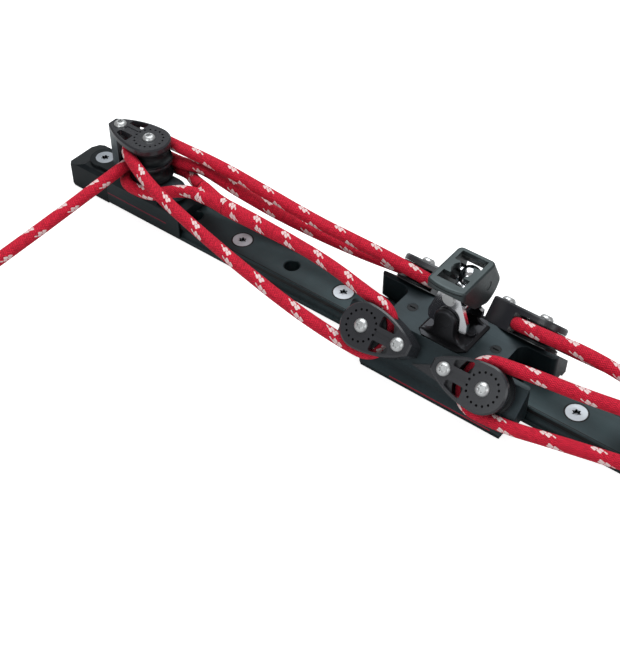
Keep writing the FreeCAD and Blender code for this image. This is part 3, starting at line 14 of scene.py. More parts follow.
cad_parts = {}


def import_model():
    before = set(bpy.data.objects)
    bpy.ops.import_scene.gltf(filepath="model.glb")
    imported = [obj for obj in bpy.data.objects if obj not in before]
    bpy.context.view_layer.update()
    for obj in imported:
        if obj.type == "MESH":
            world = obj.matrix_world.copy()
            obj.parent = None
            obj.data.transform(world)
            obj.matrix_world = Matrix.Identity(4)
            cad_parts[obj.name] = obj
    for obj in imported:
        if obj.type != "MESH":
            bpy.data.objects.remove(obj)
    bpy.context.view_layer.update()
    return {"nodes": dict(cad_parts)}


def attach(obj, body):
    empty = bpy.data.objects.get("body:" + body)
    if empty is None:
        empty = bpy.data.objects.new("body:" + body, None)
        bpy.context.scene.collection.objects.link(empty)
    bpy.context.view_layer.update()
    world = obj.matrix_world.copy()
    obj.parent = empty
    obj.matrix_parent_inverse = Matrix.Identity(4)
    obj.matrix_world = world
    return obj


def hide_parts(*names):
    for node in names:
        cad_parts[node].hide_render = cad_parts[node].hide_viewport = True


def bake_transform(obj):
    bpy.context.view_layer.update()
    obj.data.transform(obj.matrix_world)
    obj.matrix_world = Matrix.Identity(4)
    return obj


LOG = logging.getLogger("traveller")

# The lines, the knots and the pin are given in millimetres, and everything else in metres.
MM = 0.001
TAU = 2 * math.pi
UP = Vector((0, 0, 1))
WHITE = (1, 1, 1, 1)

LINE_WIDTH = 10.0

# X of the track's first screw and of the end screw, and the radii of a flush head and of its seat.
FIRST_SCREW = -0.185
END_SCREW = -0.235
SCREW_PITCH = 0.1
SCREW_FACE = 0.0077
SCREW_SEAT = 0.0093

# Where soft noise mostly lies.
NOISE_LOW, NOISE_HIGH = 0.3, 0.7

Colour = tuple[float, float, float, float]
Point = tuple[float, float, float]
Stretch = tuple[str, str, float, float]
Socket = bpy.types.NodeSocket


def paint(red: int, green: int, blue: int) -> Colour:
    """A colour that is read off a screen, as the linear colour that a shader takes.

    Args:
        red: Red from 0 to 255.
        green: Green from 0 to 255.
        blue: Blue from 0 to 255.

    Returns:
        Linear red, green, blue and an opaque alpha.
    """
    def linear(share: float) -> float:
        """One channel from the screen's curve to linear."""
        return share / 12.92 if share <= 0.04045 else ((share + 0.055) / 1.055) ** 2.4

    return (*(linear(part / 255) for part in (red, green, blue)), 1.0)


def shade(colour: Colour, share: float, lift: float = 0.0) -> Colour:
    """A darker or lighter colour.

    Args:
        colour: The colour to start from.
        share: What each channel is multiplied by.
        lift: What is then added to each channel.

    Returns:
        The new colour, opaque.
    """
    return (*(share * part + lift for part in colour[:3]), 1.0)


class Graph:
    """A material and short words for wiring its nodes."""

    def __init__(self, name: str) -> None:
        """Start a material with one shader.

        Args:
            name: The material's name.
        """
        self.material = bpy.data.materials.new(name)
        self.material.use_nodes = True
        self.tree = self.material.node_tree
        self.shader = self.tree.nodes["Principled BSDF"]

    def node(self, kind: str, **settings: object) -> bpy.types.Node:
        """Add a node and set its properties.

        Args:
            kind: The node's type.
            settings: Its properties by name.

        Returns:
            The new node.
        """
        made = self.tree.nodes.new(kind)
        for name, value in settings.items():
            setattr(made, name, value)
        return made

    def feed(self, target: Socket, source: object) -> None:
        """Link a socket, or set a plain value, on an input.

        Args:
            target: The input.
            source: The socket to link, or the value to set.
        """
        if isinstance(source, Socket):
            self.tree.links.new(source, target)
        else:
            target.default_value = source

    def put(self, name: str, source: object) -> None:
        """Feed one of the shader's own inputs, by its name."""
        self.feed(self.shader.inputs[name], source)

    def math(self, operation: str, *values: object) -> Socket:
        """Work out one number from up to three.

        Args:
            operation: The math node's operation.
            values: Its numbers, as sockets or plain values.

        Returns:
            The result.
        """
        made = self.node("ShaderNodeMath", operation=operation)
        for number, value in enumerate(values):
            self.feed(made.inputs[number], value)
        return made.outputs[0]

    def mix(self, share: object, low: object, high: object) -> Socket:
        """Blend two colours.

        Args:
            share: The share of the second colour, from 0 to 1.
            low: The first colour.
            high: The second colour.

        Returns:
            The blended colour.
        """
        made = self.node("ShaderNodeMix", data_type="RGBA")
        self.feed(made.inputs["Factor"], share)
        self.feed(made.inputs[6], low)
        self.feed(made.inputs[7], high)
        return made.outputs[2]

    def span(self, value: object, low: float, high: float, start: float, end: float) -> Socket:
        """Carry a number from one span to another, held at the ends.

        Args:
            value: The number.
            low: Where the first span starts.
            high: Where the first span ends.
            start: What the number becomes at the first span's start.
            end: What it becomes at its end.

        Returns:
            The carried number.
        """
        made = self.node("ShaderNodeMapRange")
        names = ("Value", "From Min", "From Max", "To Min", "To Max")
        for name, item in zip(names, (value, low, high, start, end)):
            self.feed(made.inputs[name], item)
        return made.outputs["Result"]

    def split(self, vector: Socket) -> list[Socket]:
        """Take a vector apart.

        Args:
            vector: The vector.

        Returns:
            Its X, Y and Z.
        """
        made = self.node("ShaderNodeSeparateXYZ")
        self.feed(made.inputs[0], vector)
        return list(made.outputs)

    def within(self, value: Socket, low: float, high: float) -> Socket:
        """One where a number lies between two others, and nought elsewhere."""
        above = self.math("GREATER_THAN", value, low)
        return self.math("MULTIPLY", above, self.math("LESS_THAN", value, high))

    def place(self) -> Socket:
        """The point on the piece, in metres."""
        return self.node("ShaderNodeTexCoord").outputs["Object"]

    def stretched(self, scale: Point) -> Socket:
        """The point on the piece, scaled by axis.

        Args:
            scale: The three axes' scales.

        Returns:
            The scaled point.
        """
        made = self.node("ShaderNodeMapping")
        self.feed(made.inputs["Vector"], self.place())
        made.inputs["Scale"].default_value = scale
        return made.outputs["Vector"]

    def noise(self, vector: Socket, scale: float, detail: float) -> Socket:
        """Soft noise.

        Args:
            vector: Where on the piece it is read.
            scale: Its coarseness, in patches to the metre.
            detail: How many finer layers it has.

        Returns:
            The noise, from 0 to 1.
        """
        made = self.node("ShaderNodeTexNoise")
        self.feed(made.inputs["Vector"], vector)
        made.inputs["Scale"].default_value = scale
        made.inputs["Detail"].default_value = detail
        return made.outputs["Fac"]

    def drift(self, noise: Socket, low: float, high: float) -> Socket:
        """A number that drifts between two others with a soft noise."""
        return self.span(noise, NOISE_LOW, NOISE_HIGH, low, high)

    def clouded(self, noise: Socket, dark: Colour, light: Colour) -> Socket:
        """A colour that drifts between a dark and a light one with a soft noise."""
        return self.mix(self.drift(noise, 0.0, 1.0), dark, light)

    def bump(self, height: Socket, strength: float, distance: float) -> None:
        """Raise the surface by a height, on top of what already raises it.

        Args:
            height: The height, from 0 to 1.
            strength: How much of the effect shows.
            distance: How high 1 stands, in metres.
        """
        made = self.node("ShaderNodeBump")
        made.inputs["Strength"].default_value = strength
        made.inputs["Distance"].default_value = distance
        self.feed(made.inputs["Height"], height)
        normal = self.shader.inputs["Normal"]
        if normal.is_linked:
            self.tree.links.new(normal.links[0].from_socket, made.inputs["Normal"])
        self.tree.links.new(made.outputs["Normal"], normal)

    def soft_edges(self, radius: float) -> None:
        """Round the sharp edges to the light, under any bump that follows.

        Args:
            radius: The edges' radius, in metres.
        """
        made = self.node("ShaderNodeBevel", samples=4)
        made.inputs["Radius"].default_value = radius
        self.tree.links.new(made.outputs["Normal"], self.shader.inputs["Normal"])

    def from_row(self, spot: Socket, start: float) -> Socket:
        """The distance, seen from above, to the nearest of a row of screws along X.

        Args:
            spot: The point on the piece.
            start: X of one of the screws, in metres.

        Returns:
            The distance in metres.
        """
        x, y, _ = self.split(spot)
        turn = self.math("DIVIDE", self.math("SUBTRACT", x, start - SCREW_PITCH / 2), SCREW_PITCH)
        along = self.math("MULTIPLY", self.math("SUBTRACT", self.math("FRACT", turn), 0.5), SCREW_PITCH)
        squares = self.math("ADD", self.math("POWER", along, 2.0), self.math("POWER", y, 2.0))
        return self.math("SQRT", squares)

    def painted_shade(self, colour: object, reach: float, left: float, low: float = 0.2,
                 high: float = 0.85) -> Socket:
        """Paint shade into a colour in corners and recesses, where other surfaces stand near.

        Args:
            colour: The colour in the open.
            reach: How near another surface counts, in metres.
            left: The share of the colour that is left in the deepest recess.
            low: How open the deepest recess is, from 0 to 1.
            high: How open a place with its full colour is.

        Returns:
            The colour with its painted shade.
        """
        # Ambient occlusion decides where the shade is painted.
        near = self.node("ShaderNodeAmbientOcclusion", samples=4)
        near.inputs["Distance"].default_value = reach
        share = self.span(near.outputs["AO"], low, high, left, 1.0)
        deep = self.node("ShaderNodeVectorMath", operation="SCALE")
        self.feed(deep.inputs[0], colour)
        self.feed(deep.inputs["Scale"], share)
        return deep.outputs["Vector"]


@dataclass(frozen=True)
class Moulded:
    """Fibre-filled plastic from a mould: dark, softly glossy and faintly mottled."""

    name: str
    colour: Colour
    dark: float = 0.72
    light: float = 1.3
    lift: float = 0.002
    rough: float = 0.38
    smoother: float = 0.06
    rougher: float = 0.08
    shine: float = 0.3
    edge: float = 0.0005
    cloud_scale: float = 90.0
    grain_scale: float = 1400.0
    grain: float = 0.12
    grain_height: float = 0.00006
    # How far the painted shade in corners and recesses reaches, and the share of colour it leaves.
    shade_reach: float = 0.006
    shade_left: float = 0.35

    def make(self) -> bpy.types.Material:
        """Build the material.

        Returns:
            The new material.
        """
        graph = Graph(self.name)
        spot = graph.place()
        cloud = graph.noise(spot, self.cloud_scale, 4.0)
        grain = graph.noise(spot, self.grain_scale, 2.0)
        light = shade(self.colour, self.light, self.lift)
        colour = graph.clouded(cloud, shade(self.colour, self.dark), light)
        # Painted shade darkens the base colour in corners and recesses.
        graph.put("Base Color", graph.painted_shade(colour, self.shade_reach, self.shade_left))
        graph.put("Specular IOR Level", self.shine)
        graph.put("Roughness", graph.span(cloud, 0.25, 0.75, self.rough - self.smoother,
                                          self.rough + self.rougher))
        graph.soft_edges(self.edge)
        graph.bump(grain, self.grain, self.grain_height)
        return graph.material


@dataclass(frozen=True)
class Stripe:
    """A thin painted line along X on a front face: its ends, its edges in Z and how far forward it is."""

    start: float
    end: float
    low: float
    high: float
    front: float
    colour: Colour

    def share(self, graph: Graph, spot: Socket) -> Socket:
        """One on the line and nought elsewhere.

        Args:
            graph: The material's graph.
            spot: The point on the piece.

        Returns:
            The share of the line's colour.
        """
        x, y, z = graph.split(spot)
        on_face = graph.math("LESS_THAN", y, self.front)
        run = graph.math("MULTIPLY", graph.within(x, self.start, self.end), on_face)
        return graph.math("MULTIPLY", run, graph.within(z, self.low, self.high))


@dataclass(frozen=True)
class Groove:
    """A groove along X on both sides, painted dark as the shade in it: how far from the middle it lies,
    and its edges in Z.
    """

    inner: float
    outer: float
    low: float
    high: float

    def share(self, graph: Graph, spot: Socket) -> Socket:
        """One in the groove and nought elsewhere.

        Args:
            graph: The material's graph.
            spot: The point on the piece.

        Returns:
            The share of the painted shade in the groove.
        """
        _, y, z = graph.split(spot)
        out = graph.within(graph.math("ABSOLUTE", y), self.inner, self.outer)
        return graph.math("MULTIPLY", out, graph.within(z, self.low, self.high))


@dataclass(frozen=True)
class Anodised:
    """Extruded alloy, blasted and dyed: a satin skin with faint draw lines along X.

    It may have dark gaps round a row of screws, grooves painted dark with shade, and one thin painted
    line.
    """

    name: str
    colour: Colour
    dark: float = 0.8
    light: float = 1.25
    rough: float = 0.36
    smoother: float = 0.05
    rougher: float = 0.07
    metal: float = 0.55
    shine: float = 0.5
    edge: float = 0.0005
    draw_scale: Point = (18.0, 900.0, 900.0)
    draw: float = 0.08
    draw_height: float = 0.00008
    cloud_scale: float = 35.0
    # How far the painted shade in corners and recesses reaches, and the share of colour it leaves.
    shade_reach: float = 0.006
    shade_left: float = 0.35
    gap_start: float | None = None
    gap_edge: float = 0.0004
    gap_colour: Colour = paint(8, 10, 11)
    grooves: tuple[Groove, ...] = ()
    # The colour of the painted shade in the grooves.
    groove_shade_colour: Colour = paint(6, 9, 10)
    stripe: Stripe | None = None

    def make(self) -> bpy.types.Material:
        """Build the material.

        Returns:
            The new material.
        """
        graph = Graph(self.name)
        spot = graph.place()
        lines = graph.noise(graph.stretched(self.draw_scale), 1.0, 4.0)
        cloud = graph.noise(spot, self.cloud_scale, 3.0)
        colour = graph.clouded(cloud, shade(self.colour, self.dark), shade(self.colour, self.light))
        if self.gap_start is not None:
            away = graph.from_row(spot, self.gap_start)
            gap = graph.span(away, SCREW_SEAT - self.gap_edge, SCREW_SEAT, 1.0, 0.0)
            colour = graph.mix(gap, colour, self.gap_colour)
        # The grooves are painted dark, as shade.
        for groove in self.grooves:
            colour = graph.mix(groove.share(graph, spot), colour, self.groove_shade_colour)
        if self.stripe:
            colour = graph.mix(self.stripe.share(graph, spot), colour, self.stripe.colour)
        # Painted shade darkens the base colour in corners and recesses.
        graph.put("Base Color", graph.painted_shade(colour, self.shade_reach, self.shade_left))
        graph.put("Metallic", self.metal)
        graph.put("Specular IOR Level", self.shine)
        graph.put("Roughness", graph.drift(lines, self.rough - self.smoother, self.rough + self.rougher))
        graph.soft_edges(self.edge)
        graph.bump(lines, self.draw, self.draw_height)
        return graph.material


@dataclass(frozen=True)
class Steel:
    """Stainless steel, from satin to polished, with fine marks, and painted shade that darkens its
    sockets to black.

    A flush screw's face may end in a dark ring, where its head meets its seat.
    """

    name: str
    colour: Colour
    dark: float = 0.86
    rough: float = 0.28
    smoother: float = 0.06
    rougher: float = 0.08
    marks: float = 0.1
    edge: float = 0.0003
    mark_scale: float = 700.0
    mark_height: float = 0.00005
    cloud_scale: float = 160.0
    # How far the painted shade in sockets and corners reaches, the colour it leaves, and how open a place
    # must be to escape it.
    shade_reach: float = 0.005
    shade_left: float = 0.04
    shade_low: float = 0.6
    shade_high: float = 0.95
    gap_start: float | None = None
    gap_edge: float = 0.0003
    gap_colour: Colour = paint(14, 16, 18)

    def make(self) -> bpy.types.Material:
        """Build the material.

        Returns:
            The new material.
        """
        graph = Graph(self.name)
        spot = graph.place()
        fine = graph.noise(spot, self.mark_scale, 3.0)
        cloud = graph.noise(spot, self.cloud_scale, 2.0)
        colour = graph.clouded(cloud, shade(self.colour, self.dark), self.colour)
        if self.gap_start is not None:
            away = graph.from_row(spot, self.gap_start)
            gap = graph.span(away, SCREW_FACE, SCREW_FACE + self.gap_edge, 0.0, 1.0)
            colour = graph.mix(gap, colour, self.gap_colour)
        # Painted shade darkens the base colour in sockets and corners.
        graph.put("Base Color", graph.painted_shade(colour, self.shade_reach, self.shade_left, self.shade_low,
                                               self.shade_high))
        graph.put("Metallic", 1.0)
        graph.put("Roughness", graph.drift(fine, self.rough - self.smoother, self.rough + self.rougher))
        graph.soft_edges(self.edge)
        graph.bump(fine, self.marks, self.mark_height)
        return graph.material


@dataclass(frozen=True)
class Fleck:
    """One pale fleck: its place across and along the line and its half sizes, in millimetres."""

    across: float
    ahead: float
    half_long: float = 2.0
    half_wide: float = 0.9


@dataclass(frozen=True)
class Braid:
    """Double-braided polyester: crimson strands over and under, with groups of short pale flecks.

    The flecks lie in rows along the line. Neighbouring rows stand a stagger apart, and each two of them
    are pulled together. Lengths of the weave and the flecks are in millimetres.
    """

    name: str
    red: Colour = paint(240, 38, 66)
    # The deep red is painted shade between the strands, and also the colour of the random fuzz and
    # mottle.
    deep: Colour = paint(134, 10, 32)
    pale: Colour = paint(240, 214, 212)
    rough: float = 0.72
    shine: float = 0.18
    sheen: float = 0.02
    sheen_rough: float = 0.4
    fuzz_scale: float = 900.0
    fuzz_dark: float = 0.4
    fuzz: float = 0.25
    fuzz_height: float = 0.0001
    mottle_scale: float = 420.0
    mottle_dark: float = 0.45
    relief: float = 0.8
    relief_height: float = 0.00035
    # How far the painted shade reaches where other lines and parts stand near, and the colour it leaves.
    shade_reach: float = 0.009
    shade_left: float = 0.3
    strands: int = 20
    girth: float = 31.4
    lay: float = 42.0
    lay_repeat: float = 4.0
    fleck_rows: int = 4
    fleck_step: float = 35.0
    fleck_stagger: float = -7.0
    fleck_pull: float = 0.6
    fleck_lean: float = 28.0
    flecks: tuple[Fleck, ...] = (
        Fleck(1.3, -1.8), Fleck(-0.4, -2.7), Fleck(0.4, 2.4), Fleck(-1.3, 1.5),
        Fleck(-1.0, 6.0, half_long=1.5, half_wide=0.5),
    )

    def make(self) -> bpy.types.Material:
        """Build the material, which reads the turns and the run along the line from the piece's UV map.

        Returns:
            The new material.
        """
        graph = Graph(self.name)
        around, along, _ = graph.split(graph.node("ShaderNodeUVMap", uv_map="run").outputs[0])
        weave = self.weave(graph, around, along)
        fuzz = graph.noise(graph.place(), self.fuzz_scale, 3.0)
        mottle = graph.noise(graph.place(), self.mottle_scale, 2.0)
        # Painted shade: the valleys between the strands take the deep red.
        red = graph.mix(graph.span(weave, 0.1, 0.85, 0.0, 1.0), self.deep, self.red)
        red = graph.mix(graph.span(fuzz, 0.35, 0.75, 0.0, self.fuzz_dark), red, self.deep)
        red = graph.mix(graph.span(mottle, 0.45, 0.7, 0.0, self.mottle_dark), red, self.deep)
        colour = graph.mix(self.fleck_share(graph, around, along), red, self.pale)
        # Painted shade darkens the colour where other surfaces stand near.
        graph.put("Base Color", graph.painted_shade(colour, self.shade_reach, self.shade_left))
        graph.put("Roughness", self.rough)
        graph.put("Specular IOR Level", self.shine)
        graph.put("Sheen Weight", self.sheen)
        graph.put("Sheen Roughness", self.sheen_rough)
        graph.bump(weave, self.relief, self.relief_height)
        graph.bump(fuzz, self.fuzz, self.fuzz_height)
        return graph.material

    def weave(self, graph: Graph, around: Socket, along: Socket) -> Socket:
        """The height of the strands: two families of helices that cross, each over two and under two.

        Args:
            graph: The material's graph.
            around: Turns round the line, from 0 to 1.
            along: Run along the line.

        Returns:
            The height, from 0 to about 1.
        """
        rise = graph.math("MULTIPLY", along, self.strands / self.lay)
        turn = graph.math("MULTIPLY", around, float(self.strands))
        left = graph.math("ADD", turn, rise)
        right = graph.math("SUBTRACT", turn, rise)
        crowns = []
        for helix in (left, right):
            wave = graph.math("SINE", graph.math("MULTIPLY", helix, math.pi))
            crowns.append(graph.math("ABSOLUTE", wave))
        order = graph.math("SUBTRACT", graph.math("FLOOR", left), graph.math("FLOOR", right))
        beat = graph.math("FLOORED_MODULO", order, self.lay_repeat)
        left_on_top = graph.math("LESS_THAN", beat, self.lay_repeat / 2 - 0.5)
        height = graph.node("ShaderNodeMix", data_type="FLOAT")
        graph.feed(height.inputs["Factor"], left_on_top)
        graph.feed(height.inputs[2], crowns[1])
        graph.feed(height.inputs[3], crowns[0])
        return height.outputs[0]

    def fleck_share(self, graph: Graph, around: Socket, along: Socket) -> Socket:
        """One on the pale flecks and nought elsewhere.

        Args:
            graph: The material's graph.
            around: Turns round the line, from 0 to 1.
            along: Run along the line.

        Returns:
            The share of the pale colour.
        """
        rows = graph.math("ADD", graph.math("MULTIPLY", around, float(self.fleck_rows)), 0.5)
        side = graph.math("SUBTRACT", graph.math("FRACT", rows), 0.5)
        side = graph.math("MULTIPLY", side, self.girth / self.fleck_rows)
        row = graph.math("FLOORED_MODULO", graph.math("FLOOR", rows), float(self.fleck_rows))
        odd = graph.math("FLOORED_MODULO", row, 2.0)
        side = graph.math("SUBTRACT", side, graph.span(odd, 0.0, 1.0, self.fleck_pull, -self.fleck_pull))
        shift = graph.math("MULTIPLY", row, self.fleck_stagger)
        step = graph.math("DIVIDE", graph.math("SUBTRACT", along, shift), self.fleck_step)
        step = graph.math("SUBTRACT", graph.math("FRACT", step), 0.5)
        step = graph.math("MULTIPLY", step, self.fleck_step)
        share = self.one_fleck(graph, side, step, self.flecks[0])
        for fleck in self.flecks[1:]:
            share = graph.math("MAXIMUM", share, self.one_fleck(graph, side, step, fleck))
        return share

    def one_fleck(self, graph: Graph, side: Socket, step: Socket, fleck: Fleck) -> Socket:
        """One on a leaning block with round corners, and nought elsewhere.

        Args:
            graph: The material's graph.
            side: The way across from the middle of the row.
            step: The way along from the middle of the group.
            fleck: The block's place and size.

        Returns:
            The share of the pale colour.
        """
        across, ahead = math.sin(math.radians(self.fleck_lean)), math.cos(math.radians(self.fleck_lean))
        right = graph.math("SUBTRACT", side, fleck.across)
        up = graph.math("SUBTRACT", step, fleck.ahead)
        length = graph.math("ADD", graph.math("MULTIPLY", up, ahead / fleck.half_long),
                            graph.math("MULTIPLY", right, -across / fleck.half_long))
        width = graph.math("ADD", graph.math("MULTIPLY", right, ahead / fleck.half_wide),
                           graph.math("MULTIPLY", up, across / fleck.half_wide))
        spread = graph.math("ADD", graph.math("POWER", graph.math("ABSOLUTE", length), 4.0),
                            graph.math("POWER", graph.math("ABSOLUTE", width), 4.0))
        return graph.span(spread, 0.85, 1.15, 1.0, 0.0)


class Finish(Enum):
    """The finishes of the traveller's pieces."""

    TRACK = Anodised("track_anodised", paint(42, 56, 59), rough=0.42, gap_start=FIRST_SCREW,
                     grooves=(Groove(inner=0.0141, outer=0.0149, low=0.0176, high=0.0185),
                              Groove(inner=0.0135, outer=0.0165, low=0.0125, high=0.0168)))
    PANEL = Anodised("end_panel_anodised", paint(30, 41, 44), rough=0.42,
                     stripe=Stripe(start=-0.219, end=-0.152, low=0.0118, high=0.0129, front=-0.0170,
                                   colour=paint(126, 34, 54)))
    CAR = Anodised("car_anodised", paint(34, 45, 49), rough=0.38,
                   stripe=Stripe(start=0.086, end=0.171, low=0.0038, high=0.0047, front=-0.0300,
                                 colour=paint(134, 26, 46)))
    TOGGLE = Anodised("toggle_black", paint(11, 17, 21), rough=0.42, metal=0.2, shine=0.1)
    MOULDING = Moulded("black_moulding", paint(33, 43, 47))
    NOSE = Moulded("nose_moulding", paint(16, 22, 25), rough=0.4, shine=0.15)
    SHEAVE = Moulded("sheave_moulding", paint(16, 21, 24), rough=0.42, shine=0.22)
    BEARING = Moulded("bearing_plastic", paint(205, 198, 176), rough=0.3)
    STEEL = Steel("screw_steel", (0.46, 0.47, 0.49, 1.0))
    FLUSH_STEEL = Steel("flush_screw_steel", (0.5, 0.53, 0.56, 1.0), rough=0.4, shade_reach=0.002,
                        gap_start=FIRST_SCREW)
    END_STEEL = Steel("end_screw_steel", (0.36, 0.38, 0.41, 1.0), rough=0.4, shade_reach=0.002,
                      gap_start=END_SCREW)
    CASTING = Anodised("end_casting", paint(58, 71, 76), metal=0.5)
    CHROME = Steel("toggle_chrome", (0.46, 0.48, 0.51, 1.0), rough=0.3, marks=0.05, shade_reach=0.002)
    SADDLE = Anodised("saddle_cast", paint(58, 65, 66), metal=0.6)
    LINE = Braid("control_line_braid")

    def material(self) -> bpy.types.Material:
        """The finish's material, made once."""
        made = bpy.data.materials.get(self.value.name)
        return made or self.value.make()


def put_on(thing: bpy.types.Object, finish: Finish) -> None:
    """Give an object one finish all over."""
    thing.data.materials.clear()
    thing.data.materials.append(finish.material())


def object_from(name: str, mesh: bmesh.types.BMesh) -> bpy.types.Object:
    """Turn a finished mesh into an object of the scene.

    Args:
        name: The object's name.
        mesh: The mesh, which is freed.

    Returns:
        The object.
    """
    data = bpy.data.meshes.new(name)
    mesh.to_mesh(data)
    mesh.free()
    made = bpy.data.objects.new(name, data)
    bpy.context.scene.collection.objects.link(made)
    return made


def even_steps(found: list[Vector], step: float) -> list[Vector]:
    """The same path with its points at even steps.

    Args:
        found: The path's points in metres.
        step: The step in metres.

    Returns:
        The path's new points.
    """
    runs = [0.0]
    for before, after in zip(found, found[1:]):
        runs.append(runs[-1] + (after - before).length)
    count = max(int(runs[-1] / step), 4)
    spots: list[Vector] = []
    place = 0
    for number in range(count + 1):
        goal = runs[-1] * number / count
        while place < len(runs) - 2 and runs[place + 1] < goal:
            place += 1
        gap = runs[place + 1] - runs[place]
        share = (goal - runs[place]) / gap if gap > 0 else 0.0
        spots.append(found[place].lerp(found[place + 1], min(max(share, 0.0), 1.0)))
    return spots


def eased(share: float) -> float:
    """A share from 0 to 1 that starts and ends gently."""
    return share * share * (3 - 2 * share)


def ride_or_blend(thing: bpy.types.Object, body: str, blend: Stretch | None) -> None:
    """Let a piece ride on a body, or, where it would stretch between two bodies, leave it where it stands
    with its place baked in.

    Args:
        thing: The piece.
        body: The body that it rides on where it doesn't stretch.
        blend: The two bodies, and X where the stretch would start and end, in metres; only whether it is
            given is read.
    """
    if blend is None:
        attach(thing, body)
        return
    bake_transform(thing)


@dataclass
class Tube:
    """A braided tube along a path, its turns and its run written to the UV map that the braid reads.

    Sizes are in millimetres, and a path's points in metres.
    """

    name: str
    sides: int = 32
    step: float = 1.4

    def girth_at(self, run: float) -> float:
        """The tube's width at a run along it."""
        return LINE_WIDTH

    def bunch_at(self, run: float) -> float:
        """How much closer the braid's marks stand than on a plain line, at a run along the tube."""
        return self.girth_at(run) / LINE_WIDTH

    def skin(self, spots: list[Vector], run_start: float = 0.0) -> bpy.types.Object:
        """Build the tube round a path and give it the braid.

        Args:
            spots: The path's points, at even steps.
            run_start: The braid's run at the first point.

        Returns:
            The finished object.
        """
        mesh = bmesh.new()
        uv = mesh.loops.layers.uv.new("run")
        heading = (spots[1] - spots[0]).normalized()
        aside = heading.cross(UP).normalized()
        travelled, run = 0.0, run_start
        ring = self.ring(mesh, spots[0], aside, aside.cross(heading).normalized(), travelled)
        mesh.faces.new(list(reversed(ring)))
        for number in range(1, len(spots)):
            here = spots[number]
            ahead = spots[min(number + 1, len(spots) - 1)] - spots[number - 1]
            # Each ring is turned by no more than the path turns, so that the braid doesn't twist.
            turn = heading.rotation_difference(ahead.normalized())
            heading = ahead.normalized()
            aside = (turn @ aside).normalized()
            stride = (here - spots[number - 1]).length / MM
            travelled += stride
            following = self.ring(mesh, here, aside, aside.cross(heading).normalized(), travelled)
            after = run + stride * self.bunch_at(travelled)
            self.join(mesh, uv, ring, following, run, after)
            ring, run = following, after
        mesh.faces.new(ring)
        bmesh.ops.recalc_face_normals(mesh, faces=mesh.faces)
        made = object_from(self.name, mesh)
        for face in made.data.polygons:
            face.use_smooth = True
        put_on(made, Finish.LINE)
        LOG.info("%s is built", self.name)
        return made

    def reach(self, share: float, run: float) -> tuple[float, float]:
        """A ring's point at a share of the way round.

        Args:
            share: The share of the way round, from 0 to 1.
            run: The ring's run along the tube.

        Returns:
            The steps aside and over from the ring's centre.
        """
        radius = self.girth_at(run) / 2
        return radius * math.cos(TAU * share), radius * math.sin(TAU * share)

    def ring(self, mesh: bmesh.types.BMesh, centre: Vector, aside: Vector, over: Vector,
             run: float) -> list[bmesh.types.BMVert]:
        """Add one ring of points.

        Args:
            mesh: The tube's mesh.
            centre: The ring's centre.
            aside: The way that the first point lies from the centre.
            over: The way across that.
            run: The ring's run along the tube.

        Returns:
            The ring's points.
        """
        found = []
        for number in range(self.sides):
            across, up = self.reach(number / self.sides, run)
            found.append(mesh.verts.new(centre + aside * (across * MM) + over * (up * MM)))
        return found

    def join(self, mesh: bmesh.types.BMesh, uv: bmesh.types.BMLayerItem, ring: list[bmesh.types.BMVert],
             following: list[bmesh.types.BMVert], low: float, high: float) -> None:
        """Join two rings by faces, and write their turns and runs into the UV map.

        Args:
            mesh: The tube's mesh.
            uv: The UV map's layer.
            ring: The first ring's points.
            following: The next ring's points.
            low: The braid's run at the first ring.
            high: The braid's run at the next ring.
        """
        for number in range(self.sides):
            after = (number + 1) % self.sides
            face = mesh.faces.new((ring[number], ring[after], following[after], following[number]))
            first, last = number / self.sides, (number + 1) / self.sides
            corners = ((first, low), (last, low), (last, high), (first, high))
            for loop, corner in zip(face.loops, corners):
                loop[uv].uv = corner


@dataclass
class Rope(Tube):
    """One free line: a tube along a smooth path, from the points that it is led through."""

    points: tuple[Point, ...] = ()
    body: str = "track"
    node: str = ""
    far_end: str = "knot"
    with_pieces: list[str] = field(default_factory=list)
    thick_start: float = LINE_WIDTH
    thick_run: float = 0.0
    thick_bunch: float = 1.4
    blend: Stretch | None = None

    def girth_at(self, run: float) -> float:
        """The line's width, which falls from a thick start over its first run.

        Args:
            run: How far along the line.

        Returns:
            The width.
        """
        if run >= self.thick_run:
            return LINE_WIDTH
        return self.thick_start + (LINE_WIDTH - self.thick_start) * eased(run / self.thick_run)

    def bunch_at(self, run: float) -> float:
        """How much closer the braid's marks stand where the line is thick."""
        return 1.0 + self.thick_bunch * (self.girth_at(run) / LINE_WIDTH - 1.0)

    def path(self) -> list[Vector]:
        """The smooth path, read from a curve with no thickness.

        Returns:
            The path's points, at even steps.
        """
        curve = bpy.data.curves.new(f"{self.name}_path", "CURVE")
        curve.dimensions = "3D"
        spline = curve.splines.new("NURBS")
        spline.points.add(len(self.points) - 1)
        for point, spot in zip(spline.points, self.points):
            point.co = (*(part * MM for part in spot), 1.0)
        spline.order_u = 3
        spline.use_endpoint_u = True
        spline.resolution_u = 24
        holder = bpy.data.objects.new(curve.name, curve)
        mesh = bpy.data.meshes.new_from_object(holder)
        found = [vertex.co.copy() for vertex in mesh.vertices]
        bpy.data.objects.remove(holder)
        bpy.data.curves.remove(curve)
        bpy.data.meshes.remove(mesh)
        # The curve's mesh may run from either end.
        if (found[0] - Vector(self.points[0]) * MM).length > MM:
            found.reverse()
        return even_steps(found, self.step * MM)

    def build(self) -> bpy.types.Object:
        """Returns:
            The finished line.
        """
        spots = self.path()
        line = self.skin(spots)
        ride_or_blend(line, self.body, self.blend)
        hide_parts(self.node)
        return line


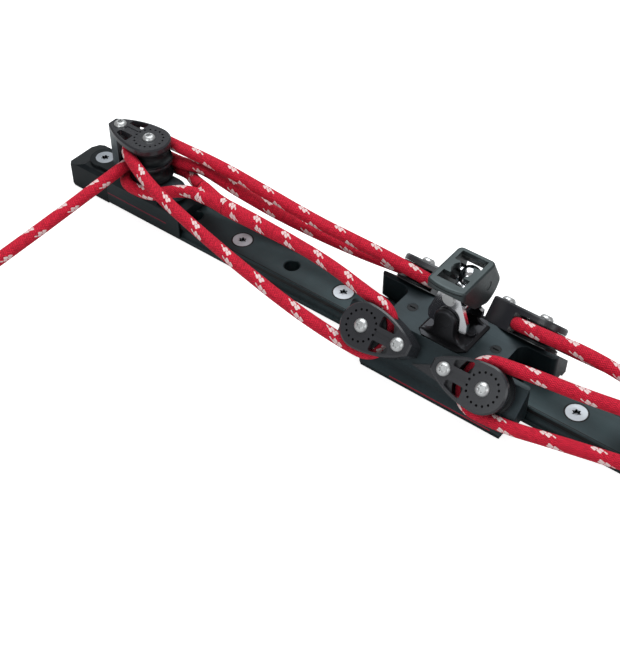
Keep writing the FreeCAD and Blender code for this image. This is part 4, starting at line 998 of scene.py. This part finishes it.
@dataclass
class Throat(Tube):
    """The splice: two legs of the eye side by side that melt into one round, thicker line."""

    first: Point = (-132.0, 1.8, 45.0)
    last: Point = (-99.0, -1.4, 44.5)
    leg: float = 5.0
    half_gap: float = 5.2
    waist: float = 2.4
    end_width: float = 13.2
    melted: float = 0.8
    run_start: float = 4.0
    steps: int = 26

    def girth_at(self, run: float) -> float:
        """The width that the throat ends with."""
        return self.end_width

    def reach(self, share: float, run: float) -> tuple[float, float]:
        """A ring's point: two lobes at the start, one circle where the legs have melted together.

        Args:
            share: The share of the way round, from 0 to 1.
            run: The ring's run along the throat.

        Returns:
            The steps aside and over from the ring's centre.
        """
        length = (Vector(self.last) - Vector(self.first)).length
        part = eased(min(max(run / (self.melted * length), 0.0), 1.0))
        across, up = math.cos(TAU * share), math.sin(TAU * share)
        bulge = math.sqrt(max(self.leg ** 2 - (self.half_gap * up) ** 2, 0.0))
        lobe = self.half_gap * abs(across) + bulge
        radius = max(lobe, self.waist) * (1 - part) + self.end_width / 2 * part
        return radius * across, radius * up

    def build(self, node: str, blend: Stretch) -> bpy.types.Object:
        """Build the throat in place of its CAD node.

        Args:
            node: The CAD node that it stands for.
            blend: The two bodies that it would stretch between, and where; ride_or_blend leaves the
                throat where it stands.

        Returns:
            The finished throat.
        """
        first, last = Vector(self.first) * MM, Vector(self.last) * MM
        spots = [first.lerp(last, number / self.steps) for number in range(self.steps + 1)]
        made = self.skin(spots, self.run_start)
        ride_or_blend(made, "track", blend)
        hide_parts(node)
        return made


@dataclass
class Stopper(Tube):
    """A stopper knot: the line's end runs on, and is wrapped back round itself."""

    turns: float = 2.1
    lead: float = 0.4
    wrap: float = 10.0
    near: float = 5.0
    far: float = 25.0
    lap: float = 0.5
    lift: float = 1.5
    core_steps: int = 12
    wrap_steps: int = 160

    def build(self, end: Point, before: Point, body: str, node: str) -> bpy.types.Object:
        """Build the knot on a line's end.

        Args:
            end: The line's last point, in millimetres.
            before: The point before it.
            body: The body that it rides on.
            node: The CAD node that it stands for.

        Returns:
            The finished knot.
        """
        start = Vector(end)
        axis = (start - Vector(before)).normalized()
        aside = axis.cross(UP).normalized()
        over = aside.cross(axis).normalized()
        found = []
        for number in range(self.core_steps):
            found.append(start + axis * (self.far * number / self.core_steps - self.lap))
        for number in range(self.wrap_steps + 1):
            turn = (self.turns + self.lead) * number / self.wrap_steps
            begun = min(turn / self.lead, 1.0)
            out = self.wrap * math.sin(begun * math.pi / 2)
            rise = self.far + self.lift * math.sin(begun * math.pi)
            if turn > self.lead:
                rise = self.far - (self.far - self.near) * (turn - self.lead) / self.turns
            angle = TAU * turn
            found.append(start + axis * rise + (aside * math.cos(angle) + over * math.sin(angle)) * out)
        made = self.skin(even_steps([spot * MM for spot in found], self.step * MM))
        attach(made, body)
        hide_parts(node)
        return made


@dataclass
class ControlLines:
    """The red control lines, the eye's throat and the stopper knots, and the points that they pass."""

    eye: tuple[Point, ...] = (
        (-131.2, -3.4, 45), (-139, -5.4, 44.7), (-152, -12.8, 41.6), (-166, -21, 36.4),
        (-199.4, -19.8, 36.1), (-199.4, 19.8, 36.1), (-172, 21, 36.2), (-158, 21.3, 36.9),
        (-148, 15.2, 39), (-139, 9.6, 43.7), (-131.2, 7, 45),
    )
    left: tuple[Point, ...] = (
        (-99, -1.4, 44.5), (-35, -2.2, 45.2), (10, -8.3, 47.4), (44.3, -18.6, 50.9),
        (79.3, -22.12, 47.37), (79.3, -46.87, 22.62), (44.3, -46.87, 22.62), (3, -49.5, 32.5),
        (-52, -45.5, 42.5), (-106, -38.5, 51), (-146, -32, 57.8), (-176.7, -21.9, 62.9),
        (-200, -8.44, 62.9), (-193, 17.5, 62.9), (-166.2, 17.5, 62.9), (-125, 22.5, 59),
        (-80, 24, 53.5), (-30, 25, 47.7), (10, 25.2, 47.5), (44.3, 22.8, 49.4),
        (79.3, 22.12, 47.37), (79.3, 46.87, 22.62), (44.3, 46.87, 22.62), (0, 37, 26),
        (-60, 28, 33), (-105, 24, 40.5), (-126, 23, 45), (-145, 21.8, 48.8),
        (-162.1, 17.5, 47.3), (-197.1, 17.5, 47.3), (-197.1, -17.5, 47.3), (-197.4, -62, 44.6),
        (-198, -112, 41.6), (-198.8, -160, 39.4),
    )
    front_right: tuple[Point, ...] = (
        (266, -4.4, 51.2), (226, -11, 49.4), (204, -15, 50.6), (180.3, -18.6, 50.9),
        (145.3, -22.12, 47.37), (145.3, -46.87, 22.62), (180.3, -46.87, 22.62), (224, -39.5, 28.2),
        (280, -30.4, 33.2),
    )
    back_right: tuple[Point, ...] = (
        (240, 17.6, 52.5), (211, 20.8, 53.4), (180.3, 21.7, 49.6), (145.3, 22.12, 47.37),
        (145.3, 46.87, 22.62), (180.3, 46.87, 22.62), (224, 43, 28.6), (272, 37.6, 33.6),
    )
    stretch: Stretch = ("track", "car", -0.155, 0.040)
    thick_run: float = 92.0

    def build(self) -> None:
        """Build every knot, then every line that ends in one."""
        self.build_knots()
        throat = Throat("eye_throat")
        throat.build("control_line_splice", self.stretch)
        Rope("eye_loop", points=self.eye, node="control_line_eye", far_end="object",
             blend=self.stretch).build()
        Rope("left_line", points=self.left, node="control_line_left",
             with_pieces=["tail_stopper", "eye_throat"], thick_start=throat.end_width,
             thick_run=self.thick_run, blend=self.stretch).build()
        Rope("front_right_line", points=self.front_right, body="car", node="control_line_front_right",
             with_pieces=["front_upper_stopper", "front_lower_stopper"]).build()
        Rope("back_right_line", points=self.back_right, body="car", node="control_line_back_right",
             with_pieces=["back_upper_stopper", "back_lower_stopper"]).build()

    def build_knots(self) -> None:
        """Build the stopper knots on the lines' ends."""
        for name, line, body, node in (
            ("tail_stopper", self.left[::-1], "track", "control_line_tail_knot"),
            ("front_upper_stopper", self.front_right, "car", "front_right_upper_knot"),
            ("front_lower_stopper", self.front_right[::-1], "car", "front_right_lower_knot"),
            ("back_upper_stopper", self.back_right, "car", "back_right_upper_knot"),
            ("back_lower_stopper", self.back_right[::-1], "car", "back_right_lower_knot"),
        ):
            Stopper(name).build(line[0], line[1], body, node)


@dataclass
class CrossPin:
    """The saddle's cross pin, whose ends lie just under the saddle's sides and fill its bores."""

    centre: Point = (113.1, 14.5, 77.0)
    radius: float = 3.4
    length: float = 29.8
    sides: int = 48

    def build(self, node: str) -> bpy.types.Object:
        """Build the pin in place of its CAD node.

        Args:
            node: The CAD node that it stands for.

        Returns:
            The finished pin.
        """
        mesh = bmesh.new()
        seat = Matrix.Translation(Vector(self.centre) * MM) @ Matrix.Rotation(math.pi / 2, 4, "Y")
        bmesh.ops.create_cone(mesh, cap_ends=True, segments=self.sides, radius1=self.radius * MM,
                              radius2=self.radius * MM, depth=self.length * MM, matrix=seat)
        made = object_from("cross_pin", mesh)
        put_on(made, Finish.SADDLE)
        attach(made, "toggle")
        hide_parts(node)
        LOG.info("cross_pin is built")
        return made


@dataclass
class Hardware:
    """The metal and moulded pieces that the solids already show, and the finish that each one has."""

    finishes: dict[str, Finish] = field(default_factory=lambda: {
        "track": Finish.TRACK,
        "track_screws": Finish.FLUSH_STEEL,
        "end_control_nose": Finish.NOSE,
        "end_control_base": Finish.PANEL,
        "end_control_end_screw": Finish.END_STEEL,
        "end_control_frame": Finish.CASTING,
        "end_control_middle_plate": Finish.MOULDING,
        "end_control_cheek": Finish.MOULDING,
        "end_control_sleeve": Finish.BEARING,
        "end_control_bolts": Finish.STEEL,
        "end_control_lower_sheave": Finish.SHEAVE,
        "end_control_upper_sheave": Finish.SHEAVE,
        "car_body": Finish.CAR,
        "car_screws": Finish.SHEAVE,
        "car_front_balls": Finish.BEARING,
        "car_back_balls": Finish.BEARING,
        "toggle_base": Finish.TOGGLE,
        "toggle_screws": Finish.TOGGLE,
        "toggle_pin": Finish.TOGGLE,
        "toggle_pin_clip": Finish.STEEL,
        "toggle_link": Finish.CHROME,
        "toggle_link_rivet": Finish.STEEL,
        "toggle_saddle": Finish.SADDLE,
    })
    blocks: tuple[str, ...] = ("front_left", "front_right", "back_left", "back_right")
    block_finishes: dict[str, Finish] = field(default_factory=lambda: {
        "cheek": Finish.MOULDING,
        "sheave": Finish.SHEAVE,
        "sleeve": Finish.BEARING,
        "housing": Finish.MOULDING,
        "bolts": Finish.STEEL,
    })

    def dress(self, nodes: dict[str, bpy.types.Object]) -> None:
        """Give each node its finish.

        Args:
            nodes: The CAD nodes by name.
        """
        plan = dict(self.finishes)
        for block in self.blocks:
            for part, finish in self.block_finishes.items():
                plan[f"{block}_{part}"] = finish
        for name, finish in plan.items():
            put_on(nodes[name], finish)
            LOG.info("%s has the finish %s", name, finish.value.name)


@dataclass(frozen=True)
class Lamp:
    """A square soft lamp: where it hangs and points, its side in metres and its power in watts."""

    name: str
    seat: Point
    size: float
    power: float
    aim: Point = (0, 0, 0.03)
    colour: tuple[float, float, float] = (0.93, 0.98, 1.0)

    def hang(self, scene: bpy.types.Scene) -> None:
        """Hang the lamp.

        Args:
            scene: The scene that it lights.
        """
        data = bpy.data.lights.new(self.name, "AREA")
        data.size = self.size
        data.energy = self.power
        data.color = self.colour
        lamp = bpy.data.objects.new(self.name, data)
        lamp.location = self.seat
        lamp.rotation_euler = (Vector(self.aim) - Vector(self.seat)).to_track_quat("-Z", "Y").to_euler()
        scene.collection.objects.link(lamp)


@dataclass
class Studio:
    """The camera, the pale floor and the soft lamps."""

    eye: Point = (0.4211, -0.5659, 0.6586)
    down: float = 44.05
    across: float = 37.76
    lens: float = 69.4
    sensor: float = 36.0
    nearest: float = 0.01
    floor_size: float = 12.0
    floor_grey: Colour = (0.62, 0.62, 0.62, 1.0)
    floor_rough: float = 0.9
    floor_glow: float = 0.8
    sky_light: float = 0.3
    lamps: tuple[Lamp, ...] = (
        Lamp("over_lamp", (-0.3, 0.5, 1.5), 1.4, 23),
        Lamp("front_lamp", (0.2, -1.5, 0.9), 1.0, 9),
        Lamp("side_lamp", (1.5, -0.2, 0.8), 0.9, 5),
    )

    def build(self) -> None:
        """Set up everything that isn't part of the object."""
        scene = bpy.context.scene
        scene.view_settings.view_transform = "Standard"
        self.camera(scene)
        self.floor()
        self.world(scene)
        for lamp in self.lamps:
            lamp.hang(scene)

    def camera(self, scene: bpy.types.Scene) -> None:
        """Stand the camera where the picture was taken from.

        Args:
            scene: The scene that the camera looks at.
        """
        data = bpy.data.cameras.new("camera")
        data.lens = self.lens
        data.sensor_width = self.sensor
        data.clip_start = self.nearest
        camera = bpy.data.objects.new("camera", data)
        camera.location = self.eye
        camera.rotation_euler = (math.radians(90 - self.down), 0, math.radians(self.across))
        scene.collection.objects.link(camera)
        scene.camera = camera

    def floor(self) -> None:
        """Lay the pale floor, which glows for the camera's rays alone and so shows white."""
        mesh = bmesh.new()
        bmesh.ops.create_grid(mesh, x_segments=1, y_segments=1, size=self.floor_size)
        floor = object_from("floor", mesh)
        graph = Graph("floor_pale")
        graph.put("Base Color", self.floor_grey)
        graph.put("Roughness", self.floor_rough)
        graph.put("Specular IOR Level", 0.0)
        graph.put("Emission Color", WHITE)
        seen = graph.node("ShaderNodeLightPath").outputs["Is Camera Ray"]
        graph.put("Emission Strength", graph.math("MULTIPLY", seen, self.floor_glow))
        floor.data.materials.append(graph.material)

    def world(self, scene: bpy.types.Scene) -> None:
        """Light the scene from all round with a plain sky, which is white where it is seen.

        Args:
            scene: The scene that the sky lights.
        """
        world = bpy.data.worlds.new("sky")
        world.use_nodes = True
        scene.world = world
        tree = world.node_tree
        rays = tree.nodes.new("ShaderNodeLightPath")
        seen = tree.nodes.new("ShaderNodeMath")
        seen.operation = "MAXIMUM"
        tree.links.new(rays.outputs["Is Camera Ray"], seen.inputs[0])
        tree.links.new(rays.outputs["Is Transmission Ray"], seen.inputs[1])
        level = tree.nodes.new("ShaderNodeMapRange")
        level.inputs["To Min"].default_value = self.sky_light
        level.inputs["To Max"].default_value = 1.0
        tree.links.new(seen.outputs[0], level.inputs["Value"])
        background = tree.nodes["Background"]
        background.inputs["Color"].default_value = WHITE
        tree.links.new(level.outputs["Result"], background.inputs["Strength"])


def main() -> None:
    """Build and dress every piece in order."""
    logging.basicConfig(level=logging.INFO, format="%(name)s: %(message)s")
    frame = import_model()
    Studio().build()
    ControlLines().build()
    CrossPin().build("saddle_pin")
    Hardware().dress(frame["nodes"])


if __name__ == "__main__":
    main()
